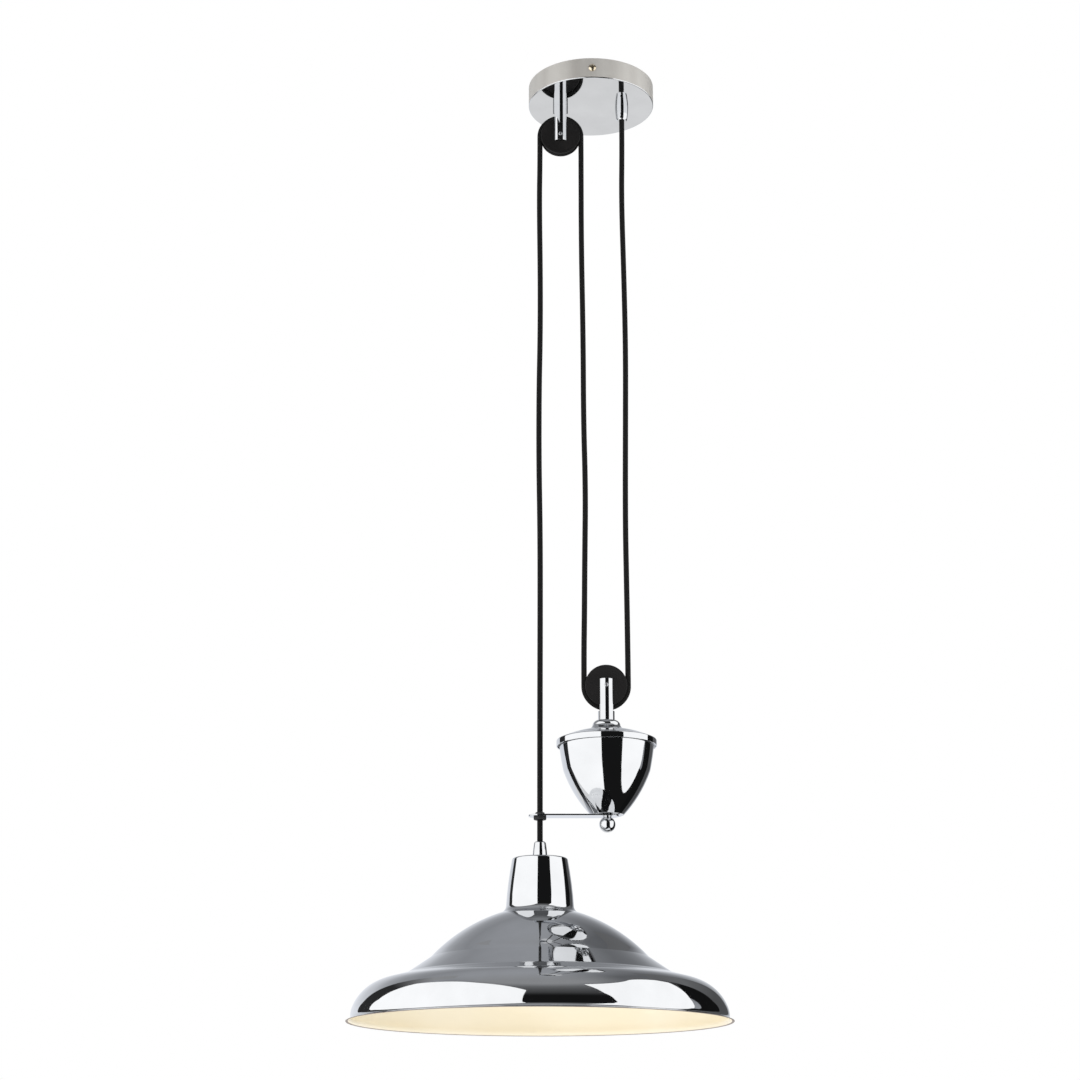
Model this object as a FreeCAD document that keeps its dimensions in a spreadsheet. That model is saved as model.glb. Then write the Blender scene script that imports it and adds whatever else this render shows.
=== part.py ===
import FreeCAD, Part
import math
import os
import Sketcher
from FreeCAD import Placement, Rotation, Vector

# A rise and fall pendant. One braided flex starts at a grip in the ceiling rose, runs down under the
# counterweight's pulley, up over the rose's pulley and down to the lamp, so the counterweight moves
# half as far as the lamp, the other way. The origin is the centre of the rose on the ceiling, +Z is up,
# X lies along the row of cord runs and the front of the fitting looks to -Y. Sizes are millimetres.

# shares worked out from angles are written into the sheet with this many decimals
DECIMALS = 9

SIZES = {
    # the flex and its two pulleys
    "cord_dia": 5.4,
    "core_dia": 2.0,
    "core_bend_height": 5.5,
    "core_bend_height_over": 7.8,
    "core_lead_in": 5.0,
    "pulley_dia": 41.0,
    "pulley_thick": 9.0,
    "pulley_chamfer": 0.5,
    "cord_stand_out": 0.8333,
    "groove_gap": 0.2,
    "weight_drop": 585.8,
    "lamp_drop": 736.8,
    # the forks that hold the pulleys, and their pins
    "fork_dia": 16.0,
    "fork_base": 9.0,
    "fork_past_axle": 6.5,
    "fork_chamfer": 0.5,
    "fork_thread_depth": 7.0,
    "pulley_side_gap": 0.3,
    "loop_gap": 0.97,
    "axle_dia": 4.0,
    "axle_dome": 0.5,
    "running_gap": 0.05,
    "thread_gap": 0.02,
    "rod_dia": 6.0,
    "rod_gap": 0.2,
    # the rose: plated cup and bent steel strap
    "rose_dia": 130.0,
    "rose_height": 22.0,
    "rose_wall": 1.0,
    "rose_edge": 0.75,
    "strap_width": 20.0,
    "strap_thick": 1.5,
    "strap_gap": 0.3,
    "ear_length": 16.0,
    "slot_width": 5.0,
    "slot_length": 16.0,
    "slot_spacing": 70.0,
    "side_screw_drop": 11.0,
    "side_screw_dia": 4.0,
    "side_head_dia": 7.5,
    "side_head_height": 2.4,
    "side_screw_length": 6.0,
    # the terminal block and the small screws in the rose
    "block_width": 18.0,
    "block_length": 30.0,
    "block_height": 13.0,
    "block_pitch": 10.0,
    "block_bore_dia": 3.2,
    "block_bore_drop": 8.0,
    "clamp_screw_dia": 3.0,
    "clamp_spacing": 9.0,
    "small_screw_dia": 2.6,
    "small_head_dia": 5.0,
    "small_head_height": 1.6,
    "earth_place": 21.0,
    "earth_head_dia": 5.6,
    # the bolt that holds the upper fork
    "washer_dia": 14.0,
    "washer_thick": 1.2,
    "bolt_across": 10.0,
    "bolt_head": 4.0,
    # the cord grips
    "grip_length": 15.8,
    "grip_base_dia": 14.0,
    "grip_end_dia": 11.2,
    "grip_bulge": 0.3,
    "grip_chamfer": 1.0,
    "grip_gap": 0.15,
    "stud_dia": 10.0,
    "stud_length": 8.5,
    "grub_dia": 3.0,
    "grub_place": 10.0,
    "grub_sink": 0.3,
    "thin_nut_across": 14.0,
    "thin_nut_height": 3.0,
    "tail_past_stud": 1.5,
    # the counterweight
    "sheet_wall": 1.0,
    "button_width": 4.9,
    "button_height": 5.0,
    "button_bulge": 1.3,
    "flare_width": 6.5,
    "flare_height": 5.0,
    "flare_bulge": 1.0,
    "lid_seat_dia": 17.2,
    "lid_dome_width": 26.7,
    "lid_dome_height": 8.9,
    "lid_dome_bulge": 0.9,
    "lid_edge": 1.5,
    "lid_edge_bulge": 0.45,
    "lip_height": 4.7,
    "shell_flange": 1.7,
    "shell_rise": 2.6,
    "lid_gap": 0.1,
    "shell_upper_height": 24.0,
    "shell_upper_taper": 3.9,
    "shell_upper_bulge": 0.3,
    "shell_lower_height": 42.4,
    "shell_lower_taper": 25.8,
    "shell_lower_bulge": 2.5,
    "core_gap": 0.4,
    "core_height": 57.0,
    "nut_across": 10.0,
    "nut_height": 5.0,
    "arm_width": 18.0,
    "arm_thick": 1.5,
    "arm_end": 11.0,
    "grommet_bore_gap": 0.6,
    "grommet_wall": 0.75,
    "grommet_top_lip": 0.6,
    "grommet_top_height": 2.5,
    "grommet_low_lip": 2.0,
    "grommet_low_height": 3.0,
    "ball_dia": 15.5,
    "ball_neck_dia": 8.0,
    "ball_drop": 8.9,
    "rod_in_ball": 6.0,
    # the shade, from the middle of its top out to the rim
    "shade_dia": 360.0,
    "shade_wall": 0.7,
    "neck_top_dia": 53.0,
    "neck_edge": 2.0,
    "neck_edge_bulge": 0.6,
    "neck_spread": 5.5,
    "neck_height": 44.0,
    "neck_bulge": 0.7,
    "fillet_width": 8.0,
    "fillet_height": 6.6,
    "fillet_bulge": 1.6,
    "dome_height": 40.9,
    "dome_bulge": 4.6,
    "cone_width": 23.5,
    "cone_height": 15.8,
    "ledge_width": 18.0,
    "ledge_height": 4.8,
    "roll_width": 31.6,
    "roll_height": 29.9,
    "roll_bulge": 6.3,
    "foot_height": 4.2,
    "lip_width": 4.4,
    "lip_bulge": 0.9,
    "lip_rise": 3.6,
    # the lampholder
    "cap_top_dia": 20.0,
    "cap_dia": 38.0,
    "cap_wall": 1.6,
    "cap_shoulder": 10.0,
    "cap_bulge": 2.4,
    "cap_height": 21.5,
    "cap_boss_wall": 2.5,
    "cap_boss_length": 8.5,
    "joint_gap": 0.1,
    "skirt_neck": 8.0,
    "skirt_length": 39.0,
    "skirt_wall": 1.7,
    "skirt_ledge": 1.0,
    "skirt_lip": 0.6,
    "skirt_lip_height": 2.0,
    "insert_rise": 3.0,
    "insert_height": 10.0,
    "insert_screw_ring": 9.6,
    "insert_screw_dia": 3.0,
    "insert_head_dia": 5.2,
    "insert_head_height": 2.0,
    "insert_screw_length": 6.0,
    "lamp_thread_dia": 26.7,
    "lamp_thread_length": 20.0,
    "screw_shell_wall": 0.4,
    "screw_shell_neck_dia": 21.0,
    "screw_shell_neck_height": 1.6,
    "contact_opening_dia": 16.0,
    "contact_width": 5.0,
    "contact_foot": 5.0,
    "contact_reach": 4.5,
    "contact_drop": 3.2,
    "contact_thick": 0.4,
}

doc = FreeCAD.newDocument("rise_and_fall_pendant")
sheet = doc.addObject("Spreadsheet::Sheet", "sizes")
for row, (word, number) in enumerate(SIZES.items(), start=1):
    sheet.set(f"A{row}", word)
    sheet.set(f"B{row}", str(number))
    sheet.setAlias(f"B{row}", word)
doc.recompute()


class Length:
    """A size worked out from the sheet: its value now, and the expression that gives it."""

    def __init__(self, value, text):
        self.value = float(value)
        self.text = text

    def __add__(self, other):
        other = as_length(other)
        return Length(self.value + other.value, f"({self.text} + {other.text})")

    def __sub__(self, other):
        other = as_length(other)
        return Length(self.value - other.value, f"({self.text} - {other.text})")

    def __mul__(self, other):
        other = as_length(other)
        return Length(self.value * other.value, f"({self.text} * {other.text})")

    def __truediv__(self, other):
        other = as_length(other)
        return Length(self.value / other.value, f"({self.text} / {other.text})")

    def __radd__(self, other):
        return as_length(other) + self

    def __rsub__(self, other):
        return as_length(other) - self

    def __rmul__(self, other):
        return as_length(other) * self

    def __neg__(self):
        return as_length(0) - self

    def root(self):
        return Length(math.sqrt(self.value), f"sqrt({self.text})")


def as_length(amount):
    if isinstance(amount, Length):
        return amount
    return Length(amount, f"({amount:.9g})")


class Sheet:
    """The sheet's cells, by name."""

    def __getattr__(self, word):
        return Length(SIZES[word], f"sizes.{word}")


size = Sheet()
nodes = []
cuts = []


def bind(thing, **amounts):
    for name, amount in amounts.items():
        thing.setExpression(name, as_length(amount).text)


def place(thing, x=0, y=0, z=0, axis=(0, 0, 1), angle=0):
    """Turn a piece by an angle about an axis, then stand it at a point that follows the sheet."""
    spot = [as_length(amount) for amount in (x, y, z)]
    turn = Rotation(Vector(*axis), angle)
    thing.Placement = Placement(Vector(*[amount.value for amount in spot]), turn)
    for letter, amount in zip("xyz", spot):
        thing.setExpression(f"Placement.Base.{letter}", amount.text)


def node(thing, label):
    """Count a piece among those that are written out."""
    thing.Label = label
    nodes.append(thing)
    return thing


def new_body(name):
    body = doc.addObject("PartDesign::Body", name)
    body.Label = name
    return body


def sketch_on(body, plane, rise=0):
    """A sketch on one of the body's own planes, or raised from it."""
    sketch = body.newObject("Sketcher::SketchObject", "outline")
    flat = [feature for feature in body.Origin.OriginFeatures if feature.Role == plane][0]
    sketch.AttachmentSupport = [(flat, "")]
    sketch.MapMode = "FlatFace"
    rise = as_length(rise)
    sketch.AttachmentOffset = Placement(Vector(0, 0, rise.value), Rotation())
    sketch.setExpression("AttachmentOffset.Base.z", rise.text)
    return sketch


def fix_point(sketch, geometry, end, x, y):
    """Hold one end of a side at its coordinates."""
    for amount, kind, axis in ((as_length(x), "DistanceX", -2), (as_length(y), "DistanceY", -1)):
        if amount.value == 0:
            sketch.addConstraint(Sketcher.Constraint("PointOnObject", geometry, end, axis))
            continue
        number = sketch.addConstraint(Sketcher.Constraint(kind, geometry, end, amount.value))
        sketch.setExpression(f"Constraints[{number}]", amount.text)


def arc_radius(start, end, bulge):
    """Radius of the arc between two corners that stands out from their chord by the bulge."""
    across = as_length(end[0]) - start[0]
    up = as_length(end[1]) - start[1]
    half_squared = (across * across + up * up) / 4
    return (half_squared + bulge * bulge) / (2 * bulge)


def draw(sketch, corners):
    """A closed outline. A corner is (x, y), or (x, y, bulge) where an arc leaves it, bulging to the
    left of the way along the outline when the bulge is positive."""
    ends = []
    for number, corner in enumerate(corners):
        after = corners[(number + 1) % len(corners)]
        a = Vector(as_length(corner[0]).value, as_length(corner[1]).value, 0)
        b = Vector(as_length(after[0]).value, as_length(after[1]).value, 0)
        if len(corner) == 2:
            sketch.addGeometry(Part.LineSegment(a, b))
            ends.append((1, 2))
            continue
        bulge = as_length(corner[2])
        left = bulge.value > 0
        bulge = bulge if left else -bulge
        radius = arc_radius(corner, after, bulge)
        across = (b - a).normalize()
        outward = Vector(-across.y, across.x, 0) * (1 if left else -1)
        centre = (a + b) / 2 + outward * (bulge.value - radius.value)
        first, last = (b, a) if left else (a, b)
        start_angle = math.atan2(first.y - centre.y, first.x - centre.x)
        end_angle = math.atan2(last.y - centre.y, last.x - centre.x)
        if end_angle < start_angle:
            end_angle += 2 * math.pi
        circle = Part.Circle(centre, Vector(0, 0, 1), radius.value)
        sketch.addGeometry(Part.ArcOfCircle(circle, start_angle, end_angle))
        ends.append((2, 1) if left else (1, 2))
        if abs(bulge.value - a.distanceToPoint(b) / 2) < 1e-6:
            # a half circle is held by its centre, midway between its ends
            level = 1 if abs(across.x) > abs(across.y) else 0
            middle = (as_length(corner[level]) + after[level]) / 2
            kind = ("DistanceX", "DistanceY")[level]
            held = sketch.addConstraint(Sketcher.Constraint(kind, number, 3, middle.value))
            sketch.setExpression(f"Constraints[{held}]", middle.text)
        else:
            held = sketch.addConstraint(Sketcher.Constraint("Radius", number, radius.value))
            sketch.setExpression(f"Constraints[{held}]", radius.text)
    for number, corner in enumerate(corners):
        after = (number + 1) % len(corners)
        sketch.addConstraint(Sketcher.Constraint("Coincident", number, ends[number][1], after, ends[after][0]))
        fix_point(sketch, number, ends[number][0], corner[0], corner[1])
    return sketch


def draw_circles(sketch, centres, radius):
    radius = as_length(radius)
    for x, y in centres:
        middle = Vector(as_length(x).value, as_length(y).value, 0)
        number = sketch.addGeometry(Part.Circle(middle, Vector(0, 0, 1), radius.value))
        held = sketch.addConstraint(Sketcher.Constraint("Radius", number, radius.value))
        sketch.setExpression(f"Constraints[{held}]", radius.text)
        fix_point(sketch, number, 3, x, y)
    return sketch


def box_corners(x_low, x_high, y_low, y_high):
    return [(x_low, y_low), (x_high, y_low), (x_high, y_high), (x_low, y_high)]


def turned(name, corners):
    """A piece turned round its own Z axis from (radius, height) corners."""
    body = new_body(name)
    turn = body.newObject("PartDesign::Revolution", "turn")
    sketch = draw(sketch_on(body, "XZ_Plane"), corners)
    turn.Profile = sketch
    turn.ReferenceAxis = (sketch, ["V_Axis"])
    turn.Angle = 360
    body.Tip = turn
    return body


def pad(body, sketch, length, symmetric=False, downward=False):
    feature = body.newObject("PartDesign::Pad", "pad")
    feature.Profile = sketch
    feature.Reversed = downward
    feature.SideType = "Symmetric" if symmetric else "One side"
    bind(feature, Length=length)
    body.Tip = feature
    return feature


def pocket(body, sketch, length=None, symmetric=False, upward=False):
    """Cut away along the sketch's normal: by a length, or right through."""
    feature = body.newObject("PartDesign::Pocket", "pocket")
    feature.Profile = sketch
    feature.Reversed = upward
    feature.SideType = "Symmetric" if symmetric else "One side"
    if length is None:
        feature.Type = "ThroughAll"
    else:
        feature.Type = "Length"
        bind(feature, Length=length)
    body.Tip = feature
    cuts.append(feature)
    return feature


def group(label, pieces):
    """Several like pieces that share one node."""
    whole = doc.addObject("Part::Compound", label)
    whole.Links = pieces
    return node(whole, label)


def inside(outline, wall):
    """The outline of a sheet's inner face: each corner moved in square to the sheet by its wall."""
    spots = [Vector(as_length(c[0]).value, as_length(c[1]).value, 0) for c in outline]
    ways = []
    for number in range(len(outline) - 1):
        a, b = spots[number], spots[number + 1]
        along = (b - a).normalize()
        lean = 0.0
        if len(outline[number]) == 3:
            bulge = as_length(outline[number][2]).value
            lean = 2 * math.atan2(2 * bulge, a.distanceToPoint(b))
        leave = Rotation(Vector(0, 0, 1), math.degrees(lean)).multVec(along)
        arrive = Rotation(Vector(0, 0, 1), -math.degrees(lean)).multVec(along)
        ways.append((leave, arrive))
    moved = []
    for number, corner in enumerate(outline):
        before = ways[number - 1][1] if number else ways[0][0]
        after = ways[number][0] if number < len(ways) else ways[-1][1]
        middle = (before + after).normalize()
        stretch = 1 / max(0.5, middle.dot(after))
        x = as_length(corner[0]) + wall * round(middle.y * stretch, DECIMALS)
        y = as_length(corner[1]) - wall * round(middle.x * stretch, DECIMALS)
        moved.append((x, y))
    # the way back along the inner face: each arc turns as far as its outer one, the other way
    back = []
    for number in range(len(moved) - 1, -1, -1):
        x, y = moved[number]
        if number == 0 or len(outline[number - 1]) == 2:
            back.append((x, y))
            continue
        chord = math.hypot(x.value - moved[number - 1][0].value, y.value - moved[number - 1][1].value)
        share = chord / spots[number].distanceToPoint(spots[number - 1])
        back.append((x, y, -(outline[number - 1][2] * round(share, DECIMALS))))
    return back


# Where things stand. The cord's centre runs round each pulley at the pitch radius, and its four
# runs hang two pitch radii apart, centred under the rose.
cord_radius = size.cord_dia / 2
pitch = size.pulley_dia / 2 + size.cord_stand_out
lamp_x = -2.5 * pitch
fork_x = -1.5 * pitch
middle_x = -0.5 * pitch
weight_x = 0.5 * pitch
grip_x = 1.5 * pitch
rose_z = -size.rose_height
axle_height = size.fork_base + size.loop_gap + cord_radius + pitch
upper_axle_z = rose_z - axle_height
lower_axle_z = upper_axle_z - size.weight_drop
fork_seat_z = lower_axle_z - axle_height
rose_grip_end_z = rose_z - size.grip_length
lamp_grip_end_z = upper_axle_z - size.lamp_drop
shade_top_z = lamp_grip_end_z - size.grip_length


# Screws and nuts. Heads are low domes with a cross recess, and a head sits at height 0 with its
# shank hanging below.
def dome_screw(name, shank_dia, length, head_dia, head_height):
    recess_arm = head_dia * 0.3
    recess_half = head_dia * 0.06
    edge_height = head_height * 0.35
    crown = head_height - edge_height
    ball = (head_dia * head_dia / 4 + crown * crown) / (2 * crown)
    screw = turned(name, [
        (0, -length),
        (shank_dia / 2, -length),
        (shank_dia / 2, 0),
        (head_dia / 2, 0),
        (head_dia / 2, edge_height, ball * (((ball - crown) / ball + 1) / 2).root() - ball),
        (0, head_height),
    ])
    for across, up in ((recess_arm, recess_half), (recess_half, recess_arm)):
        slot = draw(sketch_on(screw, "XY_Plane", head_height), box_corners(-across, across, -up, up))
        pocket(screw, slot, head_height * 0.55)
    return screw


def grub_screw(name, dia, length):
    """A headless screw from height 0 down, with a socket in its upper end."""
    return turned(name, [
        (0, -length),
        (dia * 0.3, -length),
        (dia / 2, dia * 0.2 - length),
        (dia / 2, 0),
        (dia * 0.25, 0),
        (dia * 0.25, -(length * 0.35)),
        (0, -(length * 0.35)),
    ])


def hexagon(across):
    """Corners of a hexagon by its width across the flats."""
    corner = across / math.sqrt(3)
    ring = []
    for step in range(6):
        angle = math.radians(60 * step)
        ring.append((corner * round(math.cos(angle), DECIMALS), corner * round(math.sin(angle), DECIMALS)))
    return ring


def hex_nut(name, hole_dia, across, height):
    """A nut from height 0 up."""
    nut = new_body(name)
    pad(nut, draw(sketch_on(nut, "XY_Plane"), hexagon(across)), height)
    pocket(nut, draw_circles(sketch_on(nut, "XY_Plane"), [(0, 0)], hole_dia / 2), symmetric=True)
    return nut


def tube(label, points, dia):
    """A bent wire: straight runs joined by tangent arcs, as large as the shorter run allows."""
    edges = []
    start = points[0]
    length = 0.0
    radii = []
    for number in range(1, len(points) - 1):
        corner = points[number]
        come = corner - points[number - 1]
        leave = points[number + 1] - corner
        reach = 0.45 * min(come.Length, leave.Length)
        turn = come.getAngle(leave)
        radius = reach / math.tan(turn / 2)
        radii.append(round(radius, 2))
        come.normalize()
        leave.normalize()
        first = corner - come * reach
        last = corner + leave * reach
        inward = (leave - come).normalize()
        centre = corner + inward * math.hypot(radius, reach)
        middle = centre - inward * radius
        edges.append(Part.LineSegment(start, first).toShape())
        edges.append(Part.Arc(first, middle, last).toShape())
        length += start.distanceToPoint(first) + radius * turn
        start = last
    edges.append(Part.LineSegment(start, points[-1]).toShape())
    length += start.distanceToPoint(points[-1])
    ring = Part.Wire([Part.makeCircle(dia / 2, points[0], points[1] - points[0])])
    solid = Part.Wire(edges).makePipeShell([ring], True, False)
    share = solid.Volume / (math.pi * dia * dia / 4 * length)
    print(f"{label}: radii {radii}, volume over section x length {share:.4f}")
    if abs(share - 1) > 0.01:
        raise RuntimeError(f"{label}: the tube's volume is off")
    return solid


# The ceiling bracket: a steel strap against the ceiling, bent down at both ends into ears that are
# tapped for the rose's side screws. Two slots take the ceiling screws.
rose_inner = size.rose_dia / 2 - size.rose_wall
half_strap = size.strap_width / 2
ear_face = (rose_inner * rose_inner - half_strap * half_strap).root() - size.strap_gap
ear_back = ear_face - size.strap_thick
bracket = node(new_body("ceiling_bracket"), "ceiling_bracket")
pad(bracket, draw(sketch_on(bracket, "YZ_Plane"), [
    (-ear_face, -size.ear_length),
    (-ear_face, 0),
    (ear_face, 0),
    (ear_face, -size.ear_length),
    (ear_back, -size.ear_length),
    (ear_back, -size.strap_thick),
    (-ear_back, -size.strap_thick),
    (-ear_back, -size.ear_length),
]), size.strap_width, symmetric=True)
slot_half = size.slot_width / 2
slot_run = size.slot_length / 2 - slot_half
for side in (-1, 1):
    slot_middle = side * (size.slot_spacing / 2)
    pocket(bracket, draw(sketch_on(bracket, "XY_Plane"), [
        (-slot_half, slot_middle - slot_run, -slot_half),
        (slot_half, slot_middle - slot_run),
        (slot_half, slot_middle + slot_run, -slot_half),
        (-slot_half, slot_middle + slot_run),
    ]), symmetric=True)
side_thread = draw_circles(sketch_on(bracket, "XZ_Plane"), [(0, -size.side_screw_drop)],
                           size.side_screw_dia / 2 + size.thread_gap)
pocket(bracket, side_thread, symmetric=True)
small_radius = size.small_screw_dia / 2 + size.thread_gap
block_screw_y = size.block_pitch / 2
small_holes = [(0, -block_screw_y), (0, block_screw_y), (0, size.earth_place)]
pocket(bracket, draw_circles(sketch_on(bracket, "XY_Plane"), small_holes, small_radius), symmetric=True)

# The rose cover: a shallow cup, open towards the ceiling, with a softened lower edge. Holes take
# the fork's bolt, the cord grip's stud and the side screws.
rose_radius = size.rose_dia / 2
rose = node(turned("rose_cover", [
    (0, rose_z),
    (rose_radius - size.rose_edge, rose_z, -(size.rose_edge * 0.2929)),
    (rose_radius, rose_z + size.rose_edge),
    (rose_radius, 0),
    (rose_inner, 0),
    (rose_inner, rose_z + size.rose_wall),
    (0, rose_z + size.rose_wall),
]), "rose_cover")
pocket(rose, draw_circles(sketch_on(rose, "XY_Plane"), [(fork_x, 0)], size.rod_dia / 2 + size.rod_gap),
       symmetric=True)
pocket(rose, draw_circles(sketch_on(rose, "XY_Plane"), [(grip_x, 0)], size.stud_dia / 2 + size.rod_gap),
       symmetric=True)
pocket(rose, draw_circles(sketch_on(rose, "XZ_Plane"), [(0, -size.side_screw_drop)],
                          size.side_screw_dia / 2 + size.rod_gap), symmetric=True)

# Two brass side screws, front and back.
side_screws = []
for name, side in (("front", -1), ("back", 1)):
    screw = dome_screw(f"side_screw_{name}", size.side_screw_dia, size.side_screw_length,
                       size.side_head_dia, size.side_head_height)
    place(screw, y=side * rose_radius, z=-size.side_screw_drop, axis=(1, 0, 0), angle=-90 * side)
    side_screws.append(screw)
group("rose_side_screws", side_screws)

# The terminal block hangs under the strap: three ways, each with a bore along X for two cores and
# two clamp screws from below. Two small screws between the ways hold the block to the strap.
block = node(new_body("terminal_block"), "terminal_block")
half_width = size.block_width / 2
half_length = size.block_length / 2
pad(block, draw(sketch_on(block, "XY_Plane"), box_corners(-half_width, half_width, -half_length, half_length)),
    size.block_height, downward=True)
ways = [-size.block_pitch, 0, size.block_pitch]
pocket(block, draw_circles(sketch_on(block, "YZ_Plane"), [(y, -size.block_bore_drop) for y in ways],
                           size.block_bore_dia / 2), symmetric=True)
clamp_places = [(side * size.clamp_spacing / 2, y) for side in (as_length(-1), as_length(1)) for y in ways]
clamp_depth = size.block_height - size.block_bore_drop
pocket(block, draw_circles(sketch_on(block, "XY_Plane", -size.block_height), clamp_places,
                           size.clamp_screw_dia / 2 + size.thread_gap), clamp_depth, upward=True)
fixing_places = [(0, -block_screw_y), (0, block_screw_y)]
pocket(block, draw_circles(sketch_on(block, "XY_Plane"), fixing_places, small_radius), symmetric=True)
block_z = -size.strap_thick
place(block, z=block_z)

clamp_length = clamp_depth - size.core_dia / 2
clamp_screws = []
for number, (x, y) in enumerate(clamp_places):
    screw = grub_screw(f"clamp_screw_{number + 1}", size.clamp_screw_dia, clamp_length)
    place(screw, x=x, y=y, z=block_z - size.block_height, axis=(1, 0, 0), angle=180)
    clamp_screws.append(screw)
group("terminal_screws", clamp_screws)

block_screws = []
for number, (x, y) in enumerate(fixing_places):
    screw = dome_screw(f"block_screw_{number + 1}", size.small_screw_dia, size.block_height + size.strap_thick,
                       size.small_head_dia, size.small_head_height)
    place(screw, x=x, y=y, z=block_z - size.block_height, axis=(1, 0, 0), angle=180)
    block_screws.append(screw)
group("block_screws", block_screws)

earth_screw = node(dome_screw("earth_screw", size.small_screw_dia, size.strap_thick, size.earth_head_dia,
                              size.small_head_height), "earth_screw")
place(earth_screw, y=size.earth_place, z=block_z, axis=(1, 0, 0), angle=180)


# The forks: both are the same turned bar, tapped in its base, slotted for the pulley and bored
# across for the pin. The upper one hangs from the rose, the lower one stands on the counterweight.
fork_radius = size.fork_dia / 2
fork_length = axle_height + size.fork_past_axle
fork_slot = size.pulley_thick + 2 * size.pulley_side_gap
thread_radius = size.rod_dia / 2 + size.thread_gap
axle_radius = size.axle_dia / 2


def pulley_fork(label):
    fork = node(turned(label, [
        (0, size.fork_thread_depth),
        (thread_radius, size.fork_thread_depth),
        (thread_radius, 0),
        (fork_radius, 0),
        (fork_radius, fork_length - size.fork_chamfer),
        (fork_radius - size.fork_chamfer, fork_length),
        (0, fork_length),
    ]), label)
    slot = draw(sketch_on(fork, "YZ_Plane"),
                box_corners(-(fork_slot / 2), fork_slot / 2, size.fork_base, fork_length + fork_radius))
    pocket(fork, slot, symmetric=True)
    pin_hole = draw_circles(sketch_on(fork, "XZ_Plane"), [(0, axle_height)], axle_radius + size.thread_gap)
    pocket(fork, pin_hole, symmetric=True)
    return fork


def pulley_pin(label):
    """A plain pin with low domed ends that stand just out of the fork."""
    dome = size.axle_dome
    return node(turned(label, [
        (0, -(fork_radius + dome)),
        (axle_radius * 0.6, -(fork_radius + dome)),
        (axle_radius, -fork_radius),
        (axle_radius, fork_radius),
        (axle_radius * 0.6, fork_radius + dome),
        (0, fork_radius + dome),
    ]), label)


place(pulley_fork("upper_fork"), x=fork_x, z=rose_z, axis=(0, 1, 0), angle=180)
place(pulley_fork("lower_fork"), x=weight_x, z=fork_seat_z)
place(pulley_pin("upper_axle"), x=fork_x, z=upper_axle_z, axis=(1, 0, 0), angle=90)
place(pulley_pin("lower_axle"), x=weight_x, z=lower_axle_z, axis=(1, 0, 0), angle=90)

# The upper fork's bolt, driven from inside the rose through a washer.
washer_z = rose_z + size.rose_wall
bolt_length = size.washer_thick + size.rose_wall + size.fork_thread_depth - size.thread_gap
fork_washer = node(turned("fork_washer", [
    (size.rod_dia / 2 + size.rod_gap, 0),
    (size.washer_dia / 2, 0),
    (size.washer_dia / 2, size.washer_thick),
    (size.rod_dia / 2 + size.rod_gap, size.washer_thick),
]), "fork_washer")
place(fork_washer, x=fork_x, z=washer_z)
fork_bolt = node(new_body("upper_fork_bolt"), "upper_fork_bolt")
pad(fork_bolt, draw(sketch_on(fork_bolt, "XY_Plane"), hexagon(size.bolt_across)), size.bolt_head)
pad(fork_bolt, draw_circles(sketch_on(fork_bolt, "XY_Plane"), [(0, 0)], size.rod_dia / 2), bolt_length,
    downward=True)
place(fork_bolt, x=fork_x, z=washer_z + size.washer_thick)


# The pulleys: flat-faced wheels with a round groove that the cord half fills.
def pulley(label):
    rim = size.pulley_dia / 2
    half = size.pulley_thick / 2
    groove = cord_radius + size.groove_gap
    mouth = (groove * groove - size.cord_stand_out * size.cord_stand_out).root()
    depth = groove - size.cord_stand_out
    return node(turned(label, [
        (axle_radius + size.running_gap, -half),
        (rim - size.pulley_chamfer, -half),
        (rim, size.pulley_chamfer - half),
        (rim, -mouth, depth),
        (rim, mouth),
        (rim, half - size.pulley_chamfer),
        (rim - size.pulley_chamfer, half),
        (axle_radius + size.running_gap, half),
    ]), label)


place(pulley("upper_pulley"), x=fork_x, z=upper_axle_z, axis=(1, 0, 0), angle=90)
place(pulley("lower_pulley"), x=weight_x, z=lower_axle_z, axis=(1, 0, 0), angle=90)

# The cord grips: a hollow threaded stud with a slightly barrelled taper, and a grub screw that
# bites on the cord. The rose's grip points down with its screw in front, and the lamp's grip
# points up with its screw behind.
grip_base = size.grip_base_dia / 2
grip_end = size.grip_end_dia / 2
cord_bore = cord_radius + size.grip_gap
stud_radius = size.stud_dia / 2
grub_out = grip_base - (grip_base - grip_end) * size.grub_place / size.grip_length - size.grub_sink


def cord_grip(label):
    grip = node(turned(label, [
        (cord_bore, -size.stud_length),
        (stud_radius, -size.stud_length),
        (stud_radius, 0),
        (grip_base, 0, -size.grip_bulge),
        (grip_end, size.grip_length - size.grip_chamfer),
        (grip_end - size.grip_chamfer, size.grip_length),
        (cord_bore, size.grip_length),
    ]), label)
    screw_hole = draw_circles(sketch_on(grip, "XZ_Plane"), [(0, size.grub_place)],
                              size.grub_dia / 2 + size.thread_gap)
    pocket(grip, screw_hole, upward=True)
    return grip


def grip_screw(label):
    return node(grub_screw(label, size.grub_dia, grub_out - cord_radius - size.running_gap), label)


place(cord_grip("rose_cord_grip"), x=grip_x, z=rose_z, axis=(0, 1, 0), angle=180)
place(grip_screw("rose_grip_screw"), x=grip_x, y=-grub_out, z=rose_z - size.grub_place, axis=(1, 0, 0), angle=90)
place(cord_grip("shade_cord_grip"), x=lamp_x, z=shade_top_z, axis=(0, 0, 1), angle=180)
place(grip_screw("shade_grip_screw"), x=lamp_x, y=grub_out, z=shade_top_z + size.grub_place,
      axis=(1, 0, 0), angle=-90)
rose_nut = node(hex_nut("rose_grip_nut", size.stud_dia + 2 * size.thread_gap, size.thin_nut_across,
                        size.thin_nut_height), "rose_grip_nut")
place(rose_nut, x=grip_x, z=washer_z)


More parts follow.
